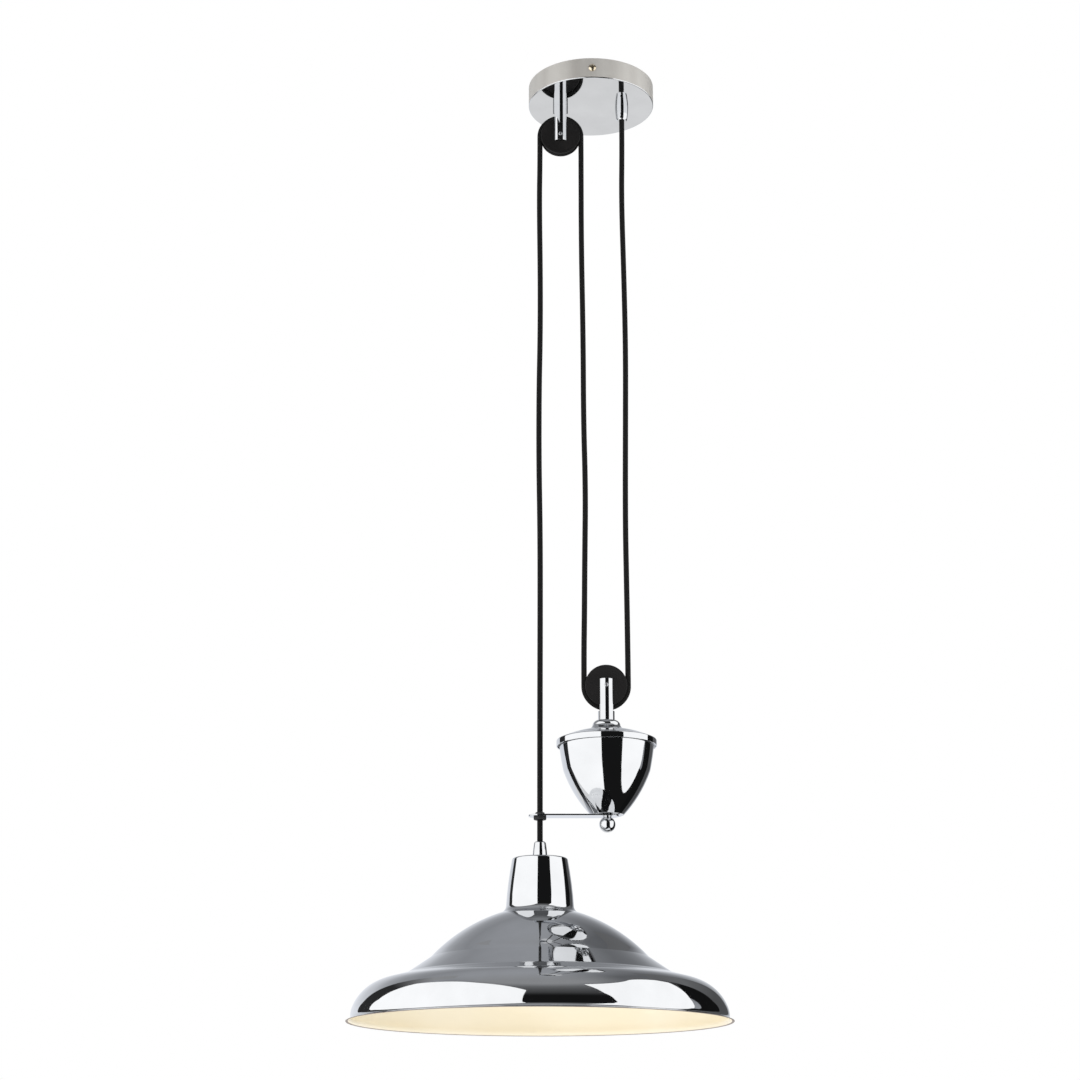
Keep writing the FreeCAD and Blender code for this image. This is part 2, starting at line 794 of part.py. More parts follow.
# The flex: one length, in stretches. Three straight runs hang between the pulleys and the grips,
# a half turn goes round each pulley, and short tails end inside the rose and the lampholder.
def cord_run(label, x, low, high):
    run = node(doc.addObject("Part::Cylinder", label), label)
    bind(run, Radius=cord_radius, Height=as_length(high) - low)
    place(run, x=x, z=low)


def cord_loop(label, x, z, angle):
    """Half a turn round a pulley, as wide as the pulley's pitch."""
    loop = node(doc.addObject("Part::Torus", label), label)
    loop.Angle3 = 180
    bind(loop, Radius1=pitch, Radius2=cord_radius)
    place(loop, x=x, z=z, axis=(1, 0, 0), angle=angle)


rose_tail_z = rose_z + size.stud_length + size.tail_past_stud
lamp_tail_z = shade_top_z - size.stud_length - size.tail_past_stud
cord_run("cord_rose_tail", grip_x, rose_grip_end_z, rose_tail_z)
cord_run("cord_rose_run", grip_x, lower_axle_z, rose_grip_end_z)
cord_loop("cord_lower_loop", weight_x, lower_axle_z, -90)
cord_run("cord_middle_run", middle_x, lower_axle_z, upper_axle_z)
cord_loop("cord_upper_loop", fork_x, upper_axle_z, 90)
cord_run("cord_lamp_run", lamp_x, lamp_grip_end_z, upper_axle_z)
cord_run("cord_lamp_tail", lamp_x, lamp_tail_z, lamp_grip_end_z)
print(f"cord: both half turns have a radius of {pitch.value:.2f}")

# The rose's three cores: they leave the cord's end in a triangle, bend over towards the block and
# enter its bores. The one behind passes over the one in front.
core_ring = 0.6 * size.core_dia.value
low_bend = size.core_bend_height.value
high_bend = size.core_bend_height_over.value
rose_cores = []
for angle, way, rise in ((90, 1, low_bend), (210, 0, low_bend), (330, -1, high_bend)):
    x_start = grip_x.value + core_ring * math.cos(math.radians(angle))
    y_start = core_ring * math.sin(math.radians(angle))
    y_end = way * size.block_pitch.value
    x_mouth = size.block_width.value / 2
    bore_z = (block_z - size.block_bore_drop).value
    low = rose_tail_z.value
    rose_cores.append(tube(f"rose core {way + 2}", [
        Vector(x_start, y_start, low),
        Vector(x_start, y_start, low + rise),
        Vector((x_start + x_mouth) / 2, (y_start + y_end) / 2, low + rise),
        Vector(x_mouth + size.core_lead_in.value, y_end, bore_z),
        Vector(x_mouth / 3, y_end, bore_z),
    ], size.core_dia.value))
cores = node(doc.addObject("Part::Feature", "rose_cores"), "rose_cores")
cores.Shape = Part.makeCompound(rose_cores)

# The counterweight's lid, pressed from sheet: a flat seat for the fork, a button, a flare, a low
# dome and an upright lip that hangs over the bowl's flange.
z = as_length(0)
r = size.lid_seat_dia / 2
lid_outline = [(size.rod_dia / 2 + size.rod_gap, z), (r, z, size.button_bulge)]
r = r + size.button_width
z = z - size.button_height
lid_outline.append((r, z, -size.flare_bulge))
r = r + size.flare_width
z = z - size.flare_height
lid_outline.append((r, z, size.lid_dome_bulge))
r = r + size.lid_dome_width
z = z - size.lid_dome_height
lid_outline.append((r, z, size.lid_edge_bulge))
r = r + size.lid_edge
z = z - size.lid_edge
lid_outline.append((r, z))
lid_radius = r
z = z - size.lip_height
lid_outline.append((r, z))
lip_z = z
lid = node(turned("weight_lid", lid_outline + inside(lid_outline, size.sheet_wall)), "weight_lid")
place(lid, x=weight_x, z=fork_seat_z)

# The counterweight's bowl: an out-turned flange under the lid, a gently tapered wall and a rounded
# lower part down to a flat bottom.
flange_radius = lid_radius - size.sheet_wall - size.lid_gap
bowl_radius = flange_radius - size.shell_flange
shell_outline = [(flange_radius, lip_z + size.shell_rise), (bowl_radius, lip_z + size.shell_rise)]
shell_outline.append((bowl_radius, lip_z, size.shell_upper_bulge))
r = bowl_radius - size.shell_upper_taper
z = lip_z - size.shell_upper_height
shell_outline.append((r, z, size.shell_lower_bulge))
r = r - size.shell_lower_taper
bowl_bottom = z - size.shell_lower_height
shell_outline.append((r, bowl_bottom))
shell_outline.append((size.rod_dia / 2 + size.rod_gap, bowl_bottom))
shell = node(turned("weight_shell", shell_outline + inside(shell_outline, size.sheet_wall)), "weight_shell")
place(shell, x=weight_x, z=fork_seat_z)

# The cast iron core fills the lower part of the bowl and rests on its bottom, with a little room
# at the side. A washerless nut on the rod holds it down.
core_outline = inside(shell_outline[2:], size.sheet_wall + size.core_gap)
core_top = bowl_bottom + size.sheet_wall + size.core_gap + size.core_height
core = node(turned("weight_core", core_outline + [(size.rod_dia / 2 + size.rod_gap, lip_z)]), "weight_core")
pocket(core, draw_circles(sketch_on(core, "XY_Plane", core_top), [(0, 0)], lid_radius),
       size.shell_upper_height + size.shell_lower_height, upward=True)
place(core, x=weight_x, z=fork_seat_z - size.core_gap)

# The threaded rod runs from the fork's base through lid, core, bowl and arm into the ball.
arm_top_z = fork_seat_z + bowl_bottom
arm_low_z = arm_top_z - size.arm_thick
rod_top = fork_seat_z + size.fork_thread_depth - size.thread_gap
rod_low = arm_low_z - size.rod_in_ball
rod = node(doc.addObject("Part::Cylinder", "weight_rod"), "weight_rod")
bind(rod, Radius=size.rod_dia / 2, Height=rod_top - rod_low)
place(rod, x=weight_x, z=rod_low)
rod_hole_dia = size.rod_dia + 2 * size.thread_gap
lid_nut = node(hex_nut("lid_nut", rod_hole_dia, size.nut_across, size.nut_height), "lid_nut")
place(lid_nut, x=weight_x, z=fork_seat_z - size.sheet_wall - size.nut_height)
core_nut = node(hex_nut("core_nut", rod_hole_dia, size.nut_across, size.nut_height), "core_nut")
place(core_nut, x=weight_x, z=fork_seat_z - size.core_gap + core_top)

# The guide arm: a flat bar under the bowl, from the rod to the lamp's cord, with round ends.
arm_reach = weight_x - lamp_x
arm_half = size.arm_width / 2
arm_straight = size.arm_end - arm_half
grommet_body = cord_radius + size.grommet_bore_gap + size.grommet_wall
arm = node(new_body("guide_arm"), "guide_arm")
pad(arm, draw(sketch_on(arm, "XY_Plane"), [
    (-(arm_reach + arm_straight), -arm_half),
    (arm_straight, -arm_half, -arm_half),
    (arm_straight, arm_half),
    (-(arm_reach + arm_straight), arm_half, -arm_half),
]), size.arm_thick)
pocket(arm, draw_circles(sketch_on(arm, "XY_Plane"), [(0, 0)], size.rod_dia / 2 + size.rod_gap), symmetric=True)
pocket(arm, draw_circles(sketch_on(arm, "XY_Plane"), [(-arm_reach, 0)], grommet_body), symmetric=True)
place(arm, x=weight_x, z=arm_low_z)

# The rubber grommet in the arm's far hole: a narrow lip above, a wider flange below.
grommet_bore = cord_radius + size.grommet_bore_gap
grommet = node(turned("arm_grommet", [
    (grommet_bore, -size.grommet_low_height),
    (grommet_body + size.grommet_low_lip * 0.7, -size.grommet_low_height),
    (grommet_body + size.grommet_low_lip, -(size.grommet_low_height * 0.7)),
    (grommet_body + size.grommet_low_lip, 0),
    (grommet_body, 0),
    (grommet_body, size.arm_thick),
    (grommet_body + size.grommet_top_lip, size.arm_thick),
    (grommet_body + size.grommet_top_lip * 0.2, size.arm_thick + size.grommet_top_height),
    (grommet_bore, size.arm_thick + size.grommet_top_height),
]), "arm_grommet")
place(grommet, x=lamp_x, z=arm_low_z)

# The ball nut that closes the stack, with a short neck and a blind thread.
ball_radius = size.ball_dia / 2
neck_radius = size.ball_neck_dia / 2
ball_centre = size.arm_thick - size.ball_drop
neck_end = ball_centre + (ball_radius * ball_radius - neck_radius * neck_radius).root()
quarter_bulge = ball_radius * 0.29289
upper_bulge = ball_radius - ball_radius * ((neck_radius / ball_radius + 1) / 2).root()
ball = node(turned("ball_finial", [
    (0, ball_centre - ball_radius, -quarter_bulge),
    (ball_radius, ball_centre, -upper_bulge),
    (neck_radius, neck_end),
    (neck_radius, 0),
    (thread_radius, 0),
    (thread_radius, -size.rod_in_ball - size.thread_gap),
    (0, -size.rod_in_ball - size.thread_gap),
]), "ball_finial")
place(ball, x=weight_x, z=arm_low_z)

# The shade, spun from sheet. From the top: a flat end, a tall slightly tapered neck, a fillet, a
# domed shoulder, a short straight cone, a low ledge, a rolled edge and a thin out-turned lip.
dome_width = size.shade_dia / 2 - (size.neck_top_dia / 2 + size.neck_spread + size.fillet_width + size.cone_width
                                   + size.ledge_width + size.roll_width + size.lip_width)
z = as_length(0)
r = size.neck_top_dia / 2 - size.neck_edge
shade_outline = [(size.stud_dia / 2 + size.rod_gap, z), (r, z, size.neck_edge_bulge)]
for width, height, bulge in (
    (size.neck_edge, size.neck_edge, size.neck_bulge),
    (size.neck_spread, size.neck_height, -size.fillet_bulge),
    (size.fillet_width, size.fillet_height, size.dome_bulge),
    (dome_width, size.dome_height, None),
    (size.cone_width, size.cone_height, None),
    (size.ledge_width, size.ledge_height, size.roll_bulge),
    (size.roll_width, size.roll_height, None),
    (0, size.foot_height, -size.lip_bulge),
    (size.lip_width, size.lip_rise, None),
):
    r = r + width
    z = z - height
    shade_outline.append((r, z) if bulge is None else (r, z, bulge))
shade_inner = inside(shade_outline, size.shade_wall)
shade = node(turned("shade", shade_outline + shade_inner), "shade")
place(shade, x=lamp_x, z=shade_top_z)
print(f"shade: rim {2 * r.value:.1f} across, {-z.value + size.shade_wall.value:.1f} tall")

# The lampholder's cap: a moulded dome whose boss screws onto the grip's stud and so clamps the
# shade's flat top.
cap_z = shade_top_z - size.shade_wall
cap_radius = size.cap_dia / 2
cap_inner = cap_radius - size.cap_wall
boss_radius = stud_radius + size.cap_boss_wall
cap_roof = size.cap_wall + size.cap_boss_wall / 2
cap = node(turned("holder_cap", [
    (stud_radius + size.thread_gap, 0),
    (size.cap_top_dia / 2, 0, size.cap_bulge),
    (cap_radius, -size.cap_shoulder),
    (cap_radius, -size.cap_height),
    (cap_inner, -size.cap_height),
    (cap_inner, -(size.cap_shoulder + size.cap_wall), -(size.cap_bulge * 0.8)),
    (size.cap_top_dia / 2, -cap_roof),
    (boss_radius, -cap_roof),
    (boss_radius, -size.cap_boss_length),
    (stud_radius + size.thread_gap, -size.cap_boss_length),
]), "holder_cap")
place(cap, x=lamp_x, z=cap_z)

# The skirt: its neck screws up into the cap, and a ledge inside carries the insert.
skirt_z = cap_z - size.cap_height
skirt_neck_radius = cap_inner - size.joint_gap
insert_radius = skirt_neck_radius - size.skirt_wall
ledge_radius = insert_radius - size.skirt_ledge
ledge_z = size.insert_rise - size.insert_height
lip_top = size.skirt_lip_height - size.skirt_length
skirt = node(turned("holder_skirt", [
    (insert_radius, size.skirt_neck),
    (skirt_neck_radius, size.skirt_neck),
    (skirt_neck_radius, 0),
    (cap_radius, 0),
    (cap_radius, lip_top),
    (cap_radius + size.skirt_lip, lip_top),
    (cap_radius + size.skirt_lip, -size.skirt_length),
    (ledge_radius, -size.skirt_length),
    (ledge_radius, ledge_z),
    (insert_radius, ledge_z),
]), "holder_skirt")
place(skirt, x=lamp_x, z=skirt_z)

# The ceramic insert: a thick disc with three terminal screws in its top.
insert_z = skirt_z + ledge_z
insert = node(turned("holder_insert", [
    (0, 0),
    (insert_radius - size.joint_gap, 0),
    (insert_radius - size.joint_gap, size.insert_height),
    (0, size.insert_height),
]), "holder_insert")
insert_spots = []
for angle in (90, 210, 330):
    across = size.insert_screw_ring * round(math.cos(math.radians(angle)), DECIMALS)
    up = size.insert_screw_ring * round(math.sin(math.radians(angle)), DECIMALS)
    insert_spots.append((across, up))
insert_threads = draw_circles(sketch_on(insert, "XY_Plane", size.insert_height), insert_spots,
                              size.insert_screw_dia / 2 + size.thread_gap)
pocket(insert, insert_threads, size.insert_screw_length + size.thread_gap)
place(insert, x=lamp_x, z=insert_z)
insert_screws = []
for number, (across, up) in enumerate(insert_spots):
    screw = dome_screw(f"insert_screw_{number + 1}", size.insert_screw_dia, size.insert_screw_length,
                       size.insert_head_dia, size.insert_head_height)
    place(screw, x=lamp_x + across, y=up, z=insert_z + size.insert_height)
    insert_screws.append(screw)
group("holder_screws", insert_screws)

# The lamp's screw shell hangs under the insert, with a spring contact in the middle of its floor.
# Above the thread the shell narrows at 45 degrees, so the contact stays above the lamp cap's thread.
thread_inner = size.lamp_thread_dia / 2
thread_outer = thread_inner + size.screw_shell_wall
neck_inner = size.screw_shell_neck_dia / 2
thread_top = size.screw_shell_neck_height + thread_inner - neck_inner
thread_end = thread_top + size.lamp_thread_length
shoulder_shift = size.screw_shell_wall * round(math.tan(math.radians(22.5)), DECIMALS)
screw_shell = node(turned("screw_shell", [
    (size.contact_opening_dia / 2, 0),
    (size.contact_opening_dia / 2, -size.screw_shell_wall),
    (neck_inner, -size.screw_shell_wall),
    (neck_inner, -size.screw_shell_neck_height),
    (thread_inner, -thread_top),
    (thread_inner, -thread_end),
    (thread_outer, -thread_end),
    (thread_outer, shoulder_shift - thread_top),
    (neck_inner + size.screw_shell_wall, shoulder_shift - size.screw_shell_neck_height),
    (neck_inner + size.screw_shell_wall, 0),
]), "screw_shell")
place(screw_shell, x=lamp_x, z=insert_z)
contact = node(new_body("centre_contact"), "centre_contact")
pad(contact, draw(sketch_on(contact, "XZ_Plane"), [
    (-size.contact_foot, -size.contact_thick),
    (-(size.contact_thick / 2), -size.contact_thick),
    (size.contact_reach - size.contact_thick, -size.contact_drop - size.contact_thick),
    (size.contact_reach, -size.contact_drop),
    (0, 0),
    (-size.contact_foot, 0),
]), size.contact_width, symmetric=True)
place(contact, x=lamp_x, z=insert_z)

# The lamp's three cores fan out from the cord's end to the insert's screws.
lamp_cores = []
tail_low = lamp_tail_z.value
head_top = (insert_z + size.insert_height + size.insert_head_height).value
for angle in (90, 210, 330):
    way = Vector(math.cos(math.radians(angle)), math.sin(math.radians(angle)), 0)
    middle = Vector(lamp_x.value, 0, 0)
    head_side = size.insert_screw_ring.value - size.insert_head_dia.value / 2
    fall = tail_low - head_top
    lamp_cores.append(tube(f"lamp core at {angle} degrees", [
        middle + way * core_ring + Vector(0, 0, tail_low),
        middle + way * core_ring + Vector(0, 0, tail_low - fall * 0.35),
        middle + way * (head_side * 0.62) + Vector(0, 0, tail_low - fall * 0.7),
        middle + way * (head_side - core_ring * 0.4) + Vector(0, 0, head_top),
    ], size.core_dia.value))
lamp_wires = node(doc.addObject("Part::Feature", "lamp_cores"), "lamp_cores")
lamp_wires.Shape = Part.makeCompound(lamp_cores)

doc.recompute()

# Every feature has to be sound, every cut has to take something away, and every piece has to be a
# closed solid before any of them is written.
for thing in doc.Objects:
    if "Invalid" in thing.State or "Error" in thing.State:
        raise RuntimeError(f"{thing.Label} ({thing.Name}) didn't compute: {thing.State}")
for cut in cuts:
    if cut.Shape.Volume > cut.BaseFeature.Shape.Volume - 0.01:
        raise RuntimeError(f"{cut.Name} cuts nothing from {cut.getParentGeoFeatureGroup().Label}")
os.makedirs("parts", exist_ok=True)
for piece in nodes:
    if piece.Shape.isNull() or not piece.Shape.isValid() or not piece.Shape.Solids:
        raise RuntimeError(f"{piece.Label} isn't a valid solid")
for piece in nodes:
    piece.Shape.exportStep(f"parts/{piece.Label}.step")
    print(f"{piece.Label}: {len(piece.Shape.Solids)} solid, {piece.Shape.Volume / 1000:.3f} cm3")
print(f"{len(nodes)} nodes")
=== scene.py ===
import math

import bmesh
import bpy
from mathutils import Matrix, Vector


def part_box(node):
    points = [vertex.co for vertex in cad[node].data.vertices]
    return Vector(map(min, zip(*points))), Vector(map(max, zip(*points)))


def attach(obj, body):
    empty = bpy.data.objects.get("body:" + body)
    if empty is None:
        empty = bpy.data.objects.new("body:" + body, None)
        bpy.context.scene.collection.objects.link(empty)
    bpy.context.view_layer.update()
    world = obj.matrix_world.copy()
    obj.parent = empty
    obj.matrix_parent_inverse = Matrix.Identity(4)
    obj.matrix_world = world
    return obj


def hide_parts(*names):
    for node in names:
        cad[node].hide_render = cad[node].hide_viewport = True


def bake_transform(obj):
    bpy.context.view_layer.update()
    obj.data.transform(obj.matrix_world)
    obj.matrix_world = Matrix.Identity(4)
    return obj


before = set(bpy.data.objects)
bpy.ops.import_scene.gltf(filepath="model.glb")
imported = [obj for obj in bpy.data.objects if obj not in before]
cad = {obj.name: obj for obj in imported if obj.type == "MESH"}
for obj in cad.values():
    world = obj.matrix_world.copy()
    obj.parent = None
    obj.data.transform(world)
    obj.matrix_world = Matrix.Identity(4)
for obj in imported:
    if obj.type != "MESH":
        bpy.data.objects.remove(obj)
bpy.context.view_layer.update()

# The camera stands low in front of the lamp, a little under the shade's rim, and looks up at the
# rose. The lens is long, so the shade and the rose both keep their round shapes.
CAMERA_PLACE = (-0.0533, -2.1086, -1.1192)
CAMERA_TILT = 16.51
camera_data = bpy.data.cameras.new("camera")
camera_data.sensor_width = 36.0
camera_data.lens = 74.32
camera_data.clip_start = 0.05
camera = bpy.data.objects.new("camera", camera_data)
camera.location = CAMERA_PLACE
camera.rotation_euler = (math.radians(90 + CAMERA_TILT), 0, 0)
bpy.context.scene.collection.objects.link(camera)
bpy.context.scene.camera = camera

# The flex: one length of round lamp flex in a black braided textile sleeve, 5.4 mm across. It is
# held in the rose's grip, runs under the counterweight's pulley and over the rose's pulley, and
# ends in the lamp's grip. The turns round the pulleys go with the rose and the counterweight.
FLEX_DIA = 0.0054
TURN_RADIUS = 0.0213333
CARRIERS = 12
PLUMB_REACH = 0.032


def middle_of(node):
    low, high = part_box(node)
    return (low + high) / 2


upper_axle = middle_of("upper_axle")
lower_axle = middle_of("lower_axle")
rose_grip_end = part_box("cord_rose_run")[1].z
lamp_grip_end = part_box("cord_lamp_run")[0].z
lamp_x = middle_of("shade").x
middle_x = upper_axle.x + TURN_RADIUS
grip_x = lower_axle.x + TURN_RADIUS


def link(mesh, name):
    piece = bpy.data.objects.new(name, mesh)
    bpy.context.scene.collection.objects.link(piece)
    return piece


def flex_line(name, route):
    """The points of one smooth curve with the route's points as its control points."""
    curve = bpy.data.curves.new(name, "CURVE")
    curve.dimensions = "3D"
    spline = curve.splines.new("NURBS")
    spline.points.add(len(route) - 1)
    for point, spot in zip(spline.points, route):
        point.co = (*spot, 1)
    spline.order_u = 3
    spline.use_endpoint_u = True
    spline.resolution_u = 16
    holder = bpy.data.objects.new(name, curve)
    mesh = bpy.data.meshes.new_from_object(holder)
    line = [vertex.co.copy() for vertex in mesh.vertices]
    bpy.data.meshes.remove(mesh)
    bpy.data.objects.remove(holder)
    bpy.data.curves.remove(curve)
    return line


def flex_tube(name, line, sides=28):
    """A round tube along a line, with the way round and the way along as its UVs."""
    radius = FLEX_DIA / 2
    shape = bmesh.new()
    sheet = shape.loops.layers.uv.new("braid")
    rings = []
    travel = [0.0]
    for number, spot in enumerate(line):
        before = line[max(number - 1, 0)]
        after = line[min(number + 1, len(line) - 1)]
        ahead = (after - before).normalized()
        aside = Vector((0, 1, 0))
        across = ahead.cross(aside).normalized()
        ring = []
        for step in range(sides):
            turn = 2 * math.pi * step / sides
            ring.append(shape.verts.new(spot + radius * (math.cos(turn) * across + math.sin(turn) * aside)))
        rings.append(ring)
        if number:
            travel.append(travel[-1] + (spot - before).length)
    round_length = 2 * math.pi * radius
    for number in range(len(rings) - 1):
        for step in range(sides):
            ahead_step = (step + 1) % sides
            face = shape.faces.new((rings[number][step], rings[number][ahead_step],
                                    rings[number + 1][ahead_step], rings[number + 1][step]))
            face.smooth = True
            spots = ((step, number), (step + 1, number), (step + 1, number + 1), (step, number + 1))
            for loop, (way_round, way_along) in zip(face.loops, spots):
                loop[sheet].uv = (way_round / sides, travel[way_along] / round_length)
    shape.faces.new(list(reversed(rings[0])))
    shape.faces.new(rings[-1])
    mesh = bpy.data.meshes.new(name)
    shape.to_mesh(mesh)
    shape.free()
    return link(mesh, name)


def new_finish(name):
    """A fresh material and short ways to add its nodes and wires."""
    finish = bpy.data.materials.new(name)
    finish.use_nodes = True
    tree = finish.node_tree
    coat = tree.nodes["Principled BSDF"]

    def add(kind, **settings):
        made = tree.nodes.new(kind)
        for word, value in settings.items():
            setattr(made, word, value)
        return made

    def math_node(operation, first, second=0.0):
        made = add("ShaderNodeMath", operation=operation)
        for socket, value in zip(made.inputs, (first, second)):
            if hasattr(value, "is_linked"):
                tree.links.new(value, socket)
            else:
                socket.default_value = value
        return made.outputs[0]

    def ramp(value, *stops):
        made = add("ShaderNodeValToRGB")
        while len(made.color_ramp.elements) < len(stops):
            made.color_ramp.elements.new(0.5)
        for element, (place, colour) in zip(made.color_ramp.elements, stops):
            element.position = place
            element.color = colour if hasattr(colour, "__len__") else (colour, colour, colour, 1)
        tree.links.new(value, made.inputs[0])
        return made.outputs[0]

    def noise(scale, detail=3.0, stretch=None):
        made = add("ShaderNodeTexNoise")
        made.inputs["Scale"].default_value = scale
        made.inputs["Detail"].default_value = detail
        places = add("ShaderNodeTexCoord")
        if stretch is None:
            tree.links.new(places.outputs["Object"], made.inputs["Vector"])
        else:
            mapping = add("ShaderNodeMapping")
            mapping.inputs["Scale"].default_value = stretch
            tree.links.new(places.outputs["Object"], mapping.inputs["Vector"])
            tree.links.new(mapping.outputs[0], made.inputs["Vector"])
        return made.outputs[0]

    def relief(height, depth):
        made = add("ShaderNodeBump")
        made.inputs["Strength"].default_value = 1.0
        made.inputs["Distance"].default_value = depth
        tree.links.new(height, made.inputs["Height"])
        tree.links.new(made.outputs[0], coat.inputs["Normal"])

    tools = {"tree": tree, "coat": coat, "add": add, "math": math_node, "ramp": ramp, "noise": noise,
             "relief": relief}
    return finish, tools


def wire(tools, source, socket):
    tools["tree"].links.new(source, tools["coat"].inputs[socket])


def braided_textile(name):
    """Crossing carriers of black thread: each passes over one and under the next."""
    finish, t = new_finish(name)
    unwrap = t["add"]("ShaderNodeUVMap", uv_map="braid")
    split = t["add"]("ShaderNodeSeparateXYZ")
    t["tree"].links.new(unwrap.outputs[0], split.inputs[0])
    turns = t["math"]("MULTIPLY", split.outputs[0], 2 * math.pi * CARRIERS)
    along = t["math"]("MULTIPLY", split.outputs[1], 2 * math.pi * CARRIERS)
    right = t["math"]("SINE", t["math"]("ADD", turns, along))
    left = t["math"]("SINE", t["math"]("SUBTRACT", turns, along))
    weave = t["math"]("MULTIPLY", right, left)
    threads = t["noise"](2600.0, 2.0)
    braid = t["math"]("ADD", t["math"]("MULTIPLY", weave, 0.5), threads)
    tone = t["ramp"](braid, (0.1, (0.002, 0.002, 0.002, 1)), (1.0, (0.009, 0.0085, 0.008, 1)))
    wire(t, tone, "Base Color")
    wire(t, t["ramp"](threads, (0.3, 0.62), (0.7, 0.85)), "Roughness")
    t["relief"](braid, 0.00022)
    t["coat"].inputs["Sheen Weight"].default_value = 0.04
    t["coat"].inputs["Sheen Roughness"].default_value = 0.5
    t["coat"].inputs["Specular IOR Level"].default_value = 0.2
    return finish


flex_finish = braided_textile("black_braid")


def flex_piece(name, route, node):
    line = flex_line(name, route)
    piece = flex_tube(name, line)
    piece.data.materials.append(flex_finish)
    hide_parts(node)
    return piece


def half_turn(axle, side):
    """The route round a pulley: its two ends and the corners of the octagon about the turn."""
    corner = TURN_RADIUS / math.cos(math.radians(22.5))
    route = [(axle.x - TURN_RADIUS, 0, axle.z)]
    for angle in (157.5, 112.5, 67.5, 22.5):
        turn = math.radians(angle)
        route.append((axle.x + corner * math.cos(turn), 0, axle.z + side * corner * math.sin(turn)))
    route.append((axle.x + TURN_RADIUS, 0, axle.z))
    return route


rose_run = flex_piece("flex_to_the_counterweight", [
    (grip_x, 0, rose_grip_end),
    (grip_x, 0, -0.070),
    (grip_x - 0.0012, 0, -0.128),
    (grip_x + 0.0005, 0, -0.217),
    (grip_x + 0.0013, 0, -0.295),
    (grip_x + 0.0004, 0, -0.369),
    (grip_x - 0.0010, 0, -0.474),
    (grip_x - 0.0003, 0, -0.550),
    (grip_x, 0, lower_axle.z + PLUMB_REACH),
    (grip_x, 0, lower_axle.z),
], "cord_rose_run")
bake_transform(rose_run)
lower_turn = flex_piece("flex_under_the_lower_pulley", half_turn(lower_axle, -1), "cord_lower_loop")
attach(lower_turn, "counterweight")
middle_run = flex_piece("flex_to_the_upper_pulley", [
    (middle_x, 0, lower_axle.z),
    (middle_x, 0, lower_axle.z + PLUMB_REACH),
    (middle_x + 0.0007, 0, -0.575),
    (middle_x + 0.0014, 0, -0.515),
    (middle_x + 0.0026, 0, -0.443),
    (middle_x + 0.0010, 0, -0.369),
    (middle_x + 0.0011, 0, -0.283),
    (middle_x - 0.0003, 0, -0.173),
    (middle_x, 0, upper_axle.z - PLUMB_REACH),
    (middle_x, 0, upper_axle.z),
], "cord_middle_run")
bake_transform(middle_run)
upper_turn = flex_piece("flex_over_the_upper_pulley", half_turn(upper_axle, 1), "cord_upper_loop")
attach(upper_turn, "ceiling_rose")
lamp_run = flex_piece("flex_to_the_lamp", [
    (lamp_x, 0, upper_axle.z),
    (lamp_x, 0, upper_axle.z - PLUMB_REACH),
    (lamp_x - 0.0007, 0, -0.128),
    (lamp_x + 0.0004, 0, -0.217),
    (lamp_x + 0.0002, 0, -0.283),
    (lamp_x - 0.0009, 0, -0.335),
    (lamp_x - 0.0011, 0, -0.411),
    (lamp_x + 0.0002, 0, -0.490),
    (lamp_x + 0.0002, 0, -0.576),
    (lamp_x, 0, -0.655),
    (lamp_x, 0, lamp_grip_end + PLUMB_REACH),
    (lamp_x, 0, lamp_grip_end),
], "cord_lamp_run")
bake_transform(lamp_run)


def dress(finish, *nodes):
    """Give CAD nodes a finish."""
    for name in nodes:
        mesh = cad[name].data
        mesh.materials.clear()
        mesh.materials.append(finish)


dress(flex_finish, "cord_rose_tail", "cord_lamp_tail")

# The ceiling bracket: a strap of zinc plated sheet steel, bent at both ends. The plain nuts,
# washers, bolts and the rod are zinc plated too.


def zinc_plate(name):
    finish, t = new_finish(name)
    spangle = t["noise"](420.0, 6.0)
    wire(t, t["ramp"](spangle, (0.3, (0.46, 0.47, 0.49, 1)), (0.7, (0.63, 0.64, 0.66, 1))), "Base Color")
    wire(t, t["ramp"](t["noise"](900.0, 4.0), (0.3, 0.24), (0.7, 0.42)), "Roughness")
    t["coat"].inputs["Metallic"].default_value = 1.0
    t["relief"](t["noise"](1600.0, 3.0), 0.00003)
    return finish


zinc = zinc_plate("zinc_plate")
dress(zinc, "ceiling_bracket", "upper_fork_bolt", "fork_washer", "rose_grip_nut", "block_screws",
      "lid_nut", "core_nut", "weight_rod")

# The terminal block: white moulded nylon with brass clamp screws. The earth screw and the cores'
# sleeves are beside it.


def moulded(name, dark, light, gloss=0.35, pores=900.0):
    """A moulded plastic with a fine eroded skin."""
    finish, t = new_finish(name)
    cloud = t["noise"](60.0, 2.0)
    wire(t, t["ramp"](cloud, (0.3, dark), (0.7, light)), "Base Color")
    skin = t["noise"](pores, 3.0)
    wire(t, t["ramp"](skin, (0.3, gloss - 0.06), (0.7, gloss + 0.08)), "Roughness")
    t["relief"](skin, 0.00004)
    return finish


def brass_finish(name, dark, light):
    finish, t = new_finish(name)
    wire(t, t["ramp"](t["noise"](500.0, 4.0), (0.3, dark), (0.7, light)), "Base Color")
    wire(t, t["ramp"](t["noise"](1500.0, 3.0), (0.3, 0.18), (0.7, 0.34)), "Roughness")
    t["coat"].inputs["Metallic"].default_value = 1.0
    t["relief"](t["noise"](300.0, 2.0, (1, 1, 12)), 0.00003)
    return finish


